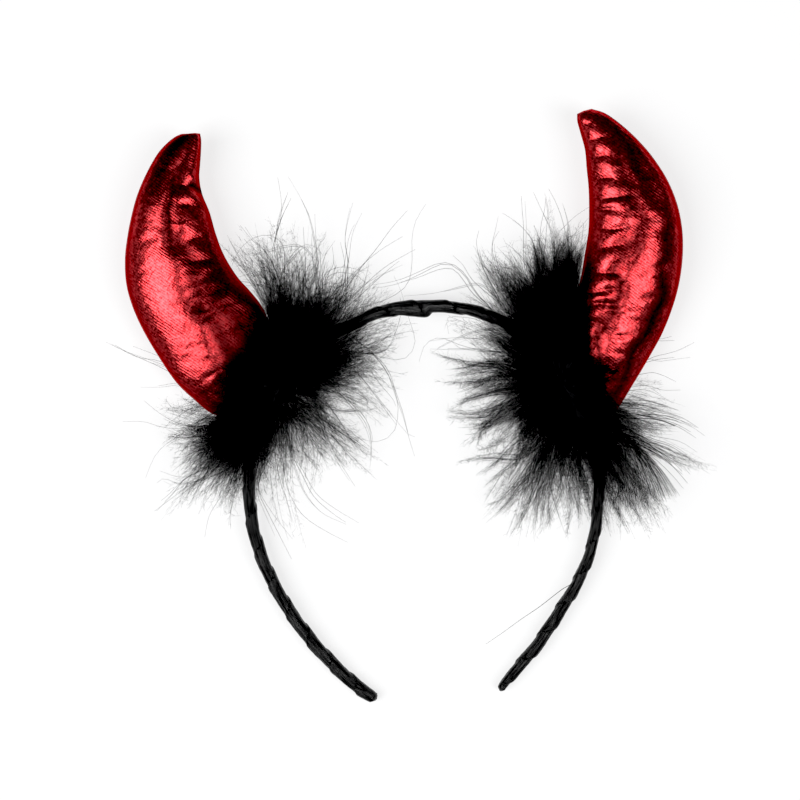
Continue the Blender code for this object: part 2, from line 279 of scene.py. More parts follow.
def marabou(name, dark, light):
    """Black down: nearly black, with a faint cool or warm cast from strand to strand."""
    n = Nodes(name)
    place = n.add("ShaderNodeTexCoord").outputs["Object"]
    n.put(
        n.between(n.noise(place, 300, 2.0), 0.35, 0.65, dark, light), n.shader.inputs["Base Color"]
    )
    n.shader.inputs["Roughness"].default_value = 0.6
    n.shader.inputs["Specular IOR Level"].default_value = 0.10
    return n.material


# ------------------------------------------------------------------ meshes from arrays
def mesh_object(name, points, quads, look, triangles=(), smooth=True):
    """One mesh object from arrays of points (metres) and of faces."""
    points = np.asarray(points, np.float32).reshape(-1, 3)
    quads = np.asarray(quads, np.int32).reshape(-1, 4)
    triangles = np.asarray(triangles, np.int32).reshape(-1, 3)
    data = bpy.data.meshes.new(name)
    data.vertices.add(len(points))
    data.vertices.foreach_set("co", points.ravel())
    data.loops.add(quads.size + triangles.size)
    data.loops.foreach_set("vertex_index", np.concatenate([quads.ravel(), triangles.ravel()]))
    data.polygons.add(len(quads) + len(triangles))
    starts = np.concatenate(
        [np.arange(len(quads)) * 4, quads.size + np.arange(len(triangles)) * 3]
    ).astype(np.int32)
    data.polygons.foreach_set("loop_start", starts)
    data.update(calc_edges=True)
    data.validate()
    data.polygons.foreach_set("use_smooth", np.full(len(data.polygons), smooth))
    data.materials.append(look)
    obj = bpy.data.objects.new(name, data)
    bpy.context.scene.collection.objects.link(obj)
    return obj


def tube_faces(rows, around):
    """Quads of a tube of `rows` rings of `around` points."""
    ring = np.arange(around)
    start = (np.arange(rows - 1) * around)[:, None]
    a, b = start + ring, start + (ring + 1) % around
    return np.stack([a, b, b + around, a + around], -1).reshape(-1, 4)


def smooth_rows(rows, steps=40):
    """Closely spaced rows on a smooth curve through the table's rows."""
    rows = np.array(rows, float)
    padded = np.vstack([2 * rows[0] - rows[1], rows, 2 * rows[-1] - rows[-2]])
    t = np.linspace(0, 1, steps, endpoint=False)[:, None]
    fine = [
        0.5
        * (
            2 * p1
            + (p2 - p0) * t
            + (2 * p0 - 5 * p1 + 4 * p2 - p3) * t**2
            + (3 * p1 - p0 - 3 * p2 + p3) * t**3
        )
        for p0, p1, p2, p3 in zip(padded, padded[1:], padded[2:], padded[3:])
    ]
    return np.vstack([*fine, padded[-2][None]])


def resampled(fine, place, count):
    steps = np.linalg.norm(np.diff(place, axis=0), axis=1)
    along = np.concatenate([[0], np.cumsum(steps)])
    wanted = np.linspace(0, along[-1], count)
    return (
        np.column_stack([np.interp(wanted, along, fine[:, i]) for i in range(fine.shape[1])]),
        along[-1],
    )


def resampled_route(route, apart):
    fine = smooth_rows(route, 20)
    total = np.linalg.norm(np.diff(fine[:, :2], axis=0), axis=1).sum()
    return resampled(fine, fine[:, :2], 2 + int(total / apart))[0]


# ------------------------------------------------------------------ horns
# Sections of each horn from its tip to its base, in mm, each from the outer seam to the inner.
LEFT_HORN = (
    # outer_x, outer_y, inner_x, inner_y, rise, belly
    (-73.9, 95.3, -69.7, 95.3, 1.6, 1.6),
    (-76.7, 95.0, -69.3, 93.0, 2.8, 2.8),
    (-80.2, 92.9, -69.4, 88.9, 4.4, 4.4),
    (-84.4, 88.5, -69.7, 84.7, 5.8, 5.8),
    (-88.4, 81.6, -70.0, 79.8, 7.0, 7.0),
    (-91.6, 74.3, -69.0, 74.2, 8.2, 8.2),
    (-93.7, 67.0, -66.5, 68.0, 9.2, 9.4),
    (-95.2, 59.6, -64.3, 60.3, 10.2, 10.6),
    (-96.1, 52.0, -61.5, 53.0, 10.9, 11.4),
    (-95.8, 43.6, -57.0, 45.6, 11.4, 11.4),
    (-93.9, 35.9, -52.4, 40.4, 11.5, 11.1),
    (-90.3, 27.5, -48.6, 35.6, 11.3, 10.5),
    (-85.1, 18.4, -46.2, 30.7, 10.9, 9.8),
    (-78.5, 8.6, -44.4, 25.8, 10.2, 8.8),
    (-72.0, 2.3, -43.2, 22.0, 9.4, 8.0),
    (-65.5, -2.8, -42.6, 18.3, 8.6, 7.2),
    (-58.7, -3.6, -43.6, 15.8, 6.6, 5.9),
    (-56.2, -2.6, -44.6, 13.8, 5.4, 5.0),
)
RIGHT_HORN = (
    # outer_x, outer_y, inner_x, inner_y, rise, belly
    (66.7, 103.9, 61.7, 102.1, 1.6, 1.6),
    (71.8, 102.2, 61.8, 99.5, 3.6, 3.6),
    (78.1, 97.6, 62.9, 95.5, 5.6, 5.6),
    (84.0, 92.0, 64.5, 89.6, 7.2, 7.2),
    (88.9, 86.1, 65.1, 83.3, 8.6, 8.6),
    (93.5, 78.8, 65.8, 76.4, 9.8, 9.8),
    (96.9, 70.4, 66.0, 69.1, 10.8, 11.0),
    (98.6, 61.7, 65.8, 61.4, 11.4, 11.8),
    (98.8, 52.7, 64.6, 53.7, 11.7, 12.0),
    (97.7, 43.6, 63.4, 46.4, 11.6, 11.5),
    (95.5, 35.2, 61.9, 39.4, 11.3, 11.1),
    (92.0, 26.1, 61.0, 33.5, 10.8, 10.4),
    (87.5, 17.7, 60.9, 28.9, 10.2, 9.6),
    (82.3, 8.9, 61.4, 25.4, 9.6, 8.8),
    (76.1, -0.9, 62.0, 22.3, 8.8, 7.6),
    (72.0, -2.9, 61.2, 19.4, 6.8, 6.2),
    (70.0, -2.0, 60.2, 17.8, 5.6, 5.2),
)
# Creases across the inner side, where the curved seam gathers the cloth: between two of them it
# puffs up. along: 0 at the tip, 1 at the base. slant: mm that a crease moves toward the base for
# each half width outward. puff: mm.
LEFT_CREASES = (
    # along, slant, puff
    (0.000, 0.0, 0.0),
    (0.120, 1.0, 0.1),
    (0.190, 1.0, 0.3),
    (0.272, 1.5, 1.3),
    (0.385, 2.0, 0.9),
    (0.462, 4.0, 0.5),
    (0.520, 8.0, 0.35),
    (0.570, 10.0, 0.35),
    (0.640, 9.0, 0.2),
    (0.720, 7.0, 0.2),
    (0.820, 6.0, 0.2),
    (1.000, 0.0, 0.0),
)
RIGHT_CREASES = (
    # along, slant, puff
    (0.000, 0.0, 0.0),
    (0.050, 1.0, 0.7),
    (0.112, 1.0, 1.0),
    (0.184, 1.0, 1.0),
    (0.259, 0.5, 1.1),
    (0.332, 0.0, 1.0),
    (0.376, -0.5, 0.8),
    (0.432, -1.0, 1.0),
    (0.500, -2.0, 0.9),
    (0.593, -3.0, 1.1),
    (0.656, -4.0, 1.0),
    (0.710, -5.0, 0.9),
    (0.778, -6.0, 1.0),
    (0.865, -5.0, 0.7),
    (1.000, 0.0, 0.0),
)
# Single folds. middle: 1 at the outer seam, -1 at the inner. reach: how far across. breadth and
# depth in mm. slant as above.
LEFT_FOLDS = (
    # along, middle, reach, breadth, depth, slant
    (0.215, -0.98, 0.30, 1.8, 1.7, -6.0),
    (0.395, 0.62, 0.22, 1.0, 0.18, 5.0),
    (0.500, 0.70, 0.25, 1.2, 0.18, 4.0),
    (0.590, -0.05, 0.25, 0.9, 0.30, 11.0),
    (0.690, 0.05, 0.30, 0.9, 0.18, 9.0),
    (0.822, 0.20, 0.24, 1.0, 0.22, 7.0),
    (0.868, 0.42, 0.22, 0.9, 0.28, 3.0),
)
RIGHT_FOLDS = (
    # along, middle, reach, breadth, depth, slant
    (0.455, 0.62, 0.14, 1.2, 0.35, 3.0),
    (0.560, 0.50, 0.14, 1.2, 0.35, -3.0),
    (0.600, 0.10, 0.22, 0.8, 0.25, -10.0),
    (0.665, 0.42, 0.14, 1.2, 0.35, -2.0),
    (0.720, 0.05, 0.24, 0.8, 0.25, -9.0),
    (0.800, 0.10, 0.24, 0.9, 0.40, -6.0),
    (0.850, 0.20, 0.22, 0.8, 0.35, -3.0),
)
# Long shallow hollows along each horn's outer side. from, to: along. across: where. wave: how far
# it wanders across. breadth in half widths, depth in mm. dark: how much painted shade darkens the
# foil's colour there, standing in for the dark room that the foil reflects and, near the base, for
# the down's shadow on the horn.
LEFT_HOLLOWS = (
    # start, end, across, wave, breadth, depth, dark
    (-0.12, 0.265, 0.42, 0.03, 0.40, 0.9, 0.8),
    (-0.02, 0.24, -0.30, 0.04, 0.25, 0.9, 0.6),
    (0.10, 0.46, -0.06, 0.06, 0.10, 0.8, 0.8),
    (0.34, 0.66, -0.24, 0.07, 0.13, 0.8, 0.8),
    (0.38, 1.30, -0.52, 0.04, 0.40, 1.2, 0.92),
    (0.52, 1.25, -0.14, 0.05, 0.20, 1.1, 0.95),
    (0.70, 1.30, -0.35, 0.05, 0.48, 0.3, 1.0),
    (0.88, 1.30, 0.30, 0.05, 0.60, 0.4, 0.95),
)
RIGHT_HOLLOWS = (
    # start, end, across, wave, breadth, depth
    # start, end, across, wave, breadth, depth, dark
    (0.03, 0.38, 0.44, 0.04, 0.26, 1.3, 0.55),
    (0.10, 0.58, -0.02, 0.06, 0.14, 1.0, 0.6),
    (0.46, 0.98, -0.28, 0.06, 0.13, 1.0, 0.7),
    (0.34, 1.02, 0.64, 0.06, 0.11, 0.3, 0.85),
    (0.88, 1.30, 0.10, 0.05, 0.70, 0.4, 0.9),
)
# Where the crest of each horn runs: along, and how far toward the inner seam in half widths.
LEFT_RIDGE = ((0.0, 0.0), (0.3, 0.0), (0.6, 0.05), (1.0, 0.0))
RIGHT_RIDGE = ((0.0, 0.0), (0.35, 0.0), (0.55, 0.12), (0.75, 0.30), (0.9, 0.25), (1.0, 0.1))
SEAM_DRAW = 1.1  # mm that the stitches pull the cloth in beside the seam
HORN_STATIONS = 190
HORN_AROUND = 96


def crumple(x, y, z, seed):
    """The uneven fill and creases of the cloth, in mm, by place in mm."""
    place = Vector((x * 0.085 + seed, y * 0.085, z * 0.085))
    broad = noise.noise(place) * 0.55
    place = Vector((x * 0.21 + seed, y * 0.21 + 7, z * 0.21))
    creased = (0.5 - abs(noise.noise(place))) * 0.30
    place = Vector((x * 0.5 + 3, y * 0.5 + seed, z * 0.5))
    fine = (0.5 - abs(noise.noise(place))) * 0.10
    return broad + creased + fine


def puffs(along, c, creases, length):
    """How far the cloth stands up between its creases, in mm, across a section."""
    s = along * length
    at = np.array([row[0] for row in creases]) * length
    slants = np.array([row[1] for row in creases])
    heights = np.array([row[2] for row in creases])
    step = np.arange(len(at))[:, None]
    lines = at[:, None] + slants[:, None] * (c[None] + 0.55)
    lines = lines + 0.55 * np.sin(5.3 * c[None] + 2.4 * step) + 0.3 * np.sin(11 * c[None] + step)
    made = np.zeros_like(c)
    for i in range(len(at) - 1):
        within = (s >= lines[i]) & (s < lines[i + 1])
        share = np.clip((s - lines[i]) / np.maximum(lines[i + 1] - lines[i], 0.5), 0, 1)
        bulge = np.sin(np.pi * share) ** 0.8 - 0.55
        made = np.where(within, bulge * (heights[i] + heights[i + 1]) / 2, made)
    centre = -0.50 + 0.09 * math.sin(s * 0.61) + 0.05 * math.sin(s * 1.7)
    window = np.exp(-(np.clip(c - centre, 0, None) / 0.24) ** 2) * np.exp(
        -(np.clip(centre - c, 0, None) / 0.36) ** 2
    )
    return made * window


def horn(name, table, creases, folds, hollows, ridge, look, seed):
    fine = smooth_rows(table)
    middles = (fine[:, 0:2] + fine[:, 2:4]) / 2
    rows, length = resampled(fine, middles, HORN_STATIONS)
    turn = 2 * np.pi * np.arange(HORN_AROUND) / HORN_AROUND
    # More points near the seams, where the section turns sharply.
    turn = turn - 0.28 * np.sin(2 * turn)
    c, s = np.cos(turn), np.sin(turn)
    points = np.zeros((HORN_STATIONS, HORN_AROUND, 3))
    painted_shade = np.zeros((HORN_STATIONS, HORN_AROUND))
    for k, (ox, oy, ix, iy, rise, belly) in enumerate(rows):
        along = k / (HORN_STATIONS - 1)
        outer, inner = np.array([ox, oy]), np.array([ix, iy])
        middle, half = (outer + inner) / 2, (outer - inner) / 2
        width = np.linalg.norm(half)
        out = half / width
        x = c * width
        aside = np.interp(along, *zip(*ridge))
        u = np.clip(np.abs(c + aside * (1 - c**2)), 0, 1)
        height = np.where(s >= 0, rise, belly)
        body = height * (1 - u**2) ** 0.5
        # The seam draws the cloth in beside itself and stands out as a thin lip.
        draw = SEAM_DRAW * np.exp(-(((width - np.abs(x)) / 0.55) ** 2)) * np.clip(height / 5, 0, 1)
        z = np.maximum(body - draw, 0.18 * (1 - c**2) ** 0.5)
        pressed = -puffs(along, c, creases, length)
        for at, at_across, reach, breadth, depth, slant in folds:
            away = (along - at) * length - slant * (c - at_across)
            valley = np.exp(-np.abs(away / breadth) ** 1.4)
            shoulder = 0.35 * np.exp(-(((np.abs(away) - 2.2 * breadth) / breadth) ** 2))
            pressed += depth * (valley - shoulder) * np.exp(-(((c - at_across) / reach) ** 2))
        # Painted shade: the foil's colour is darkened where the cloth is pressed in, near the seams and in
        # the hollows below; the underside gets half as much.
        painted_dark = np.maximum(np.clip(pressed / 1.3, 0, 1), 0.42 * np.clip((np.abs(c) - 0.82) / 0.1, 0, 1))
        for start, end, across, wave, breadth, depth, dark in hollows:
            share = np.clip((along - start) / (end - start), 0, 1)
            line = across + wave * math.sin(along * 23 + seed) + wave * 0.6 * math.sin(along * 51)
            reach_in = math.sin(math.pi * share) ** 0.5 * np.exp(-(((c - line) / breadth) ** 2))
            pressed += depth * reach_in
            painted_dark = np.maximum(painted_dark, dark * reach_in)
        painted_shade[k] = painted_dark * np.where(s >= 0, 1.0, 0.5)
        soft = np.clip(body / 3.5, 0, 1) * (1 - np.exp(-along * 14))
        for i in range(HORN_AROUND):
            px, py = middle + out * x[i]
            side = 1 if s[i] >= 0 else -1
            lump = crumple(px, py, side * z[i], seed)
            z[i] -= (pressed[i] * (1.0 if side > 0 else 0.5) + (0.45 - lump) * 0.9) * soft[i]
        z = np.maximum(z, 0.02)
        points[k, :, 0:2] = middle + out * x[:, None]
        points[k, :, 2] = z * np.sign(s + 1e-9)
    cap_tip = points[0].mean(axis=0) + (points[0].mean(axis=0) - points[1].mean(axis=0)) * 0.6
    cap_end = points[-1].mean(axis=0)
    flat = np.vstack([points.reshape(-1, 3), cap_tip, cap_end])
    world = lie(flat)
    world[:, 2] = np.maximum(world[:, 2], 0.00002)
    quads = tube_faces(HORN_STATIONS, HORN_AROUND)
    last = HORN_STATIONS * HORN_AROUND
    ring = np.arange(HORN_AROUND)
    ahead = (ring + 1) % HORN_AROUND
    base = (HORN_STATIONS - 1) * HORN_AROUND
    fans = np.vstack(
        [
            np.stack([np.full(HORN_AROUND, last), ahead, ring], -1),
            np.stack([np.full(HORN_AROUND, last + 1), base + ring, base + ahead], -1),
        ]
    )
    obj = mesh_object(name, world, quads, look, fans)
    # The painted shade goes onto the mesh as a point attribute for the foil material.
    attribute = obj.data.attributes.new("painted_shade", "FLOAT", "POINT")
    attribute.data.foreach_set("value", np.append(painted_shade.ravel(), [0, 0]).astype(np.float32))
    outward(obj)
    return obj, world


def outward(obj):
    """Turns a closed mesh's faces outward."""
    data = obj.data
    count = len(data.polygons)
    centres, normals = np.zeros(count * 3, np.float32), np.zeros(count * 3, np.float32)
    areas = np.zeros(count, np.float32)
    data.polygons.foreach_get("center", centres)
    data.polygons.foreach_get("normal", normals)
    data.polygons.foreach_get("area", areas)
    centres, normals = centres.reshape(-1, 3), normals.reshape(-1, 3)
    if (((centres - centres.mean(0)) * normals).sum(1) * areas).sum() < 0:
        data.flip_normals()


# ------------------------------------------------------------------ band
BAND_ROUTE = (
    # x, y, across, in mm
    (-8.5, -103.7, 3.2),
    (-10.2, -102.2, 4.4),
    (-14.1, -99.6, 4.6),
    (-20.1, -94.4, 4.6),
    (-28.4, -85.9, 4.6),
    (-34.9, -77.8, 4.6),
    (-40.6, -69.3, 4.5),
    (-45.5, -60.4, 4.5),
    (-49.5, -50.6, 4.5),
    (-52.0, -40.6, 4.4),
    (-53.0, -29.0, 4.4),
    (-52.6, -17.0, 4.4),
    (-49.8, -3.0, 4.4),
    (-44.2, 9.0, 4.4),
    (-35.6, 18.2, 4.4),
    (-25.2, 24.5, 4.4),
    (-16.8, 28.7, 4.4),
    (-8.4, 32.6, 4.3),
    (-2.1, 34.1, 4.9),
    (4.2, 34.4, 5.7),
    (8.4, 34.4, 6.1),
    (10.8, 35.0, 4.8),
    (16.1, 35.0, 4.4),
    (23.1, 34.1, 4.2),
    (30.8, 32.0, 4.4),
    (37.1, 29.1, 4.4),
    (43.4, 25.4, 4.3),
    (50.8, 20.0, 4.2),
    (58.1, 12.5, 4.2),
    (64.1, 3.0, 4.2),
    (68.0, -7.6, 4.1),
    (69.6, -19.0, 4.1),
    (69.5, -35.0, 4.1),
    (67.5, -48.9, 3.9),
    (63.0, -60.8, 4.0),
    (56.3, -72.1, 4.3),
    (48.6, -83.8, 4.3),
    (41.2, -92.6, 3.9),
    (37.0, -97.7, 3.1),
    (35.4, -100.5, 2.3),
)
BAND_DEPTH = 5.4
RIBBON_PITCH = 12.0
RIBBON_STEP = 0.42
BAND_AROUND = 40
BAND_STATION = 0.55


def band(name, look):
    fine = smooth_rows(BAND_ROUTE, 30)
    total = np.linalg.norm(np.diff(fine[:, :2], axis=0), axis=1).sum()
    count = 2 + int(total / BAND_STATION)
    rows, length = resampled(fine, fine[:, :2], count)
    turn = 2 * np.pi * np.arange(BAND_AROUND) / BAND_AROUND
    points = np.zeros((count, BAND_AROUND, 3))
    wound_at = np.zeros((count, BAND_AROUND, 3))
    for k, (x, y, across) in enumerate(rows):
        ahead = rows[min(k + 2, count - 1), :2] - rows[max(k - 2, 0), :2]
        ahead /= np.linalg.norm(ahead)
        side = np.array([ahead[1], -ahead[0]])
        along = length * k / (count - 1)
        end = min(along, length - along)
        deep = BAND_DEPTH * (1 if end > 6 else 0.72 + 0.28 * math.sqrt(end / 6))
        lap = (along / RIBBON_PITCH + turn / (2 * np.pi)) % 1.0
        # Each turn swells a little toward its edge, then steps down sharply onto the next.
        swell = RIBBON_STEP * (np.where(lap < 0.06, 1 - lap / 0.06, (lap - 0.06) / 0.94) ** 1.3 - 0.45)
        pucker = 0.10 * np.sin(lap * 9 + 3 * np.sin(along * 0.7)) * np.sin(turn * 3 + along * 0.35)
        grow = swell + pucker * 0.6
        cosine, sine = np.cos(turn), np.sin(turn)
        c = np.sign(cosine) * np.abs(cosine) ** 0.78
        s = np.sign(sine) * np.abs(sine) ** 0.78
        end_round = min(1.0, math.sqrt(max(end, 0.05) / 1.1))
        wide = (across / 2 * end_round + grow) * c
        points[k, :, 0:2] = rows[k, :2] + side * wide[:, None]
        points[k, :, 2] = s * (deep / 2 * end_round + grow)
        wound_at[k, :, 0] = (along - lap * 3.0) * MM
        wound_at[k, :, 1] = turn * (across + deep) / 4 * MM
    flat = np.vstack([points.reshape(-1, 3), points[0].mean(0), points[-1].mean(0)])
    world = lie(flat)
    world[:, 2] = np.maximum(world[:, 2], 0.00002)
    last = count * BAND_AROUND
    ring = np.arange(BAND_AROUND)
    ahead = (ring + 1) % BAND_AROUND
    base = (count - 1) * BAND_AROUND
    fans = np.vstack(
        [
            np.stack([np.full(BAND_AROUND, last), ahead, ring], -1),
            np.stack([np.full(BAND_AROUND, last + 1), base + ring, base + ahead], -1),
        ]
    )
    obj = mesh_object(name, world, tube_faces(count, BAND_AROUND), look, fans)
    attribute = obj.data.attributes.new("wound", "FLOAT_VECTOR", "POINT")
    values = np.vstack([wound_at.reshape(-1, 3), np.zeros((2, 3))]).astype(np.float32)
    attribute.data.foreach_set("vector", values.ravel())
    outward(obj)
    return obj


# ------------------------------------------------------------------ marabou
# How far the down reaches from the fluff's middle in each direction, in mm: where it is dense,
# where it lets half of the light by, where it is a light grey, and where its last strands end.
LEFT_MIDDLE = (-41.0, 7.5)
LEFT_REACH = (
    # toward, dense, half, grey, far
    (0, 5.5, 23.2, 33.5, 40.7),
    (15, 20.9, 37.9, 40.5, 41.5),
    (30, 22.2, 31.9, 42, 48),
    (45, 27.9, 46.6, 48.6, 50.6),
    (60, 27.5, 39.2, 43.6, 44.6),
    (75, 31.8, 41.6, 46.6, 53.6),
    (90, 28.5, 36.1, 51.6, 54.6),
    (105, 30.4, 38.9, 56.7, 57.7),
    (120, 26, 30, 37, 45),
    (135, 22, 26, 31, 40),
    (150, 26, 29, 32, 40),
    (165, 29, 31, 34, 41),
    (180, 31, 34.6, 36.6, 40.6),
    (195, 31.2, 34.8, 41.5, 50.4),
    (210, 31.1, 33.6, 37.1, 46.1),
    (225, 35.3, 45.5, 55.2, 59.8),
    (240, 33.8, 41, 44.5, 48.6),
    (255, 20.7, 37.5, 42, 48),
    (270, 8.7, 30.7, 42.4, 59),
    (285, 7.5, 26.2, 31.6, 52.5),
    (300, 7.1, 24.6, 39, 42.6),
    (315, 7.6, 36.5, 46, 47),
    (330, 6.6, 28.5, 33.5, 38.2),
    (345, 6.3, 18.9, 27.4, 28.4),
)
RIGHT_MIDDLE = (56.0, 8.6)
RIGHT_REACH = (
    # toward, dense, half, grey, far
    (0, 19.7, 32.4, 37.7, 38.7),
    (15, 28, 32.6, 38, 42),
    (30, 19, 24, 30, 38),
    (45, 18, 22, 27, 34),
    (60, 20, 24, 29, 36),
    (75, 42, 45, 48, 54),
    (90, 44.7, 49.8, 55.8, 65.8),
    (105, 36.7, 41.9, 46.2, 52.9),
    (120, 33.7, 43.6, 49.4, 52.9),
    (135, 24.5, 45.1, 53.8, 56),
    (150, 17.3, 28.7, 36, 46),
    (165, 15.6, 24.7, 30.3, 38.3),
    (180, 13.3, 27.7, 34, 38.6),
    (195, 16.1, 32.6, 35.2, 40.2),
    (210, 14.9, 25.5, 36, 38.6),
    (225, 15.2, 27.9, 29.9, 37.1),
    (240, 16.3, 28.9, 39.4, 51.9),
    (255, 22.2, 47.3, 54.7, 56.4),
    (270, 26.4, 44.3, 56.6, 59.6),
    (285, 29.2, 47.3, 50, 54),
    (300, 41.1, 57.5, 59.5, 60.5),
    (315, 35.5, 58.5, 63.4, 64.4),
    (330, 26.6, 35.2, 43.3, 60.1),
    (345, 22.8, 40.7, 45.4, 55.5),
)
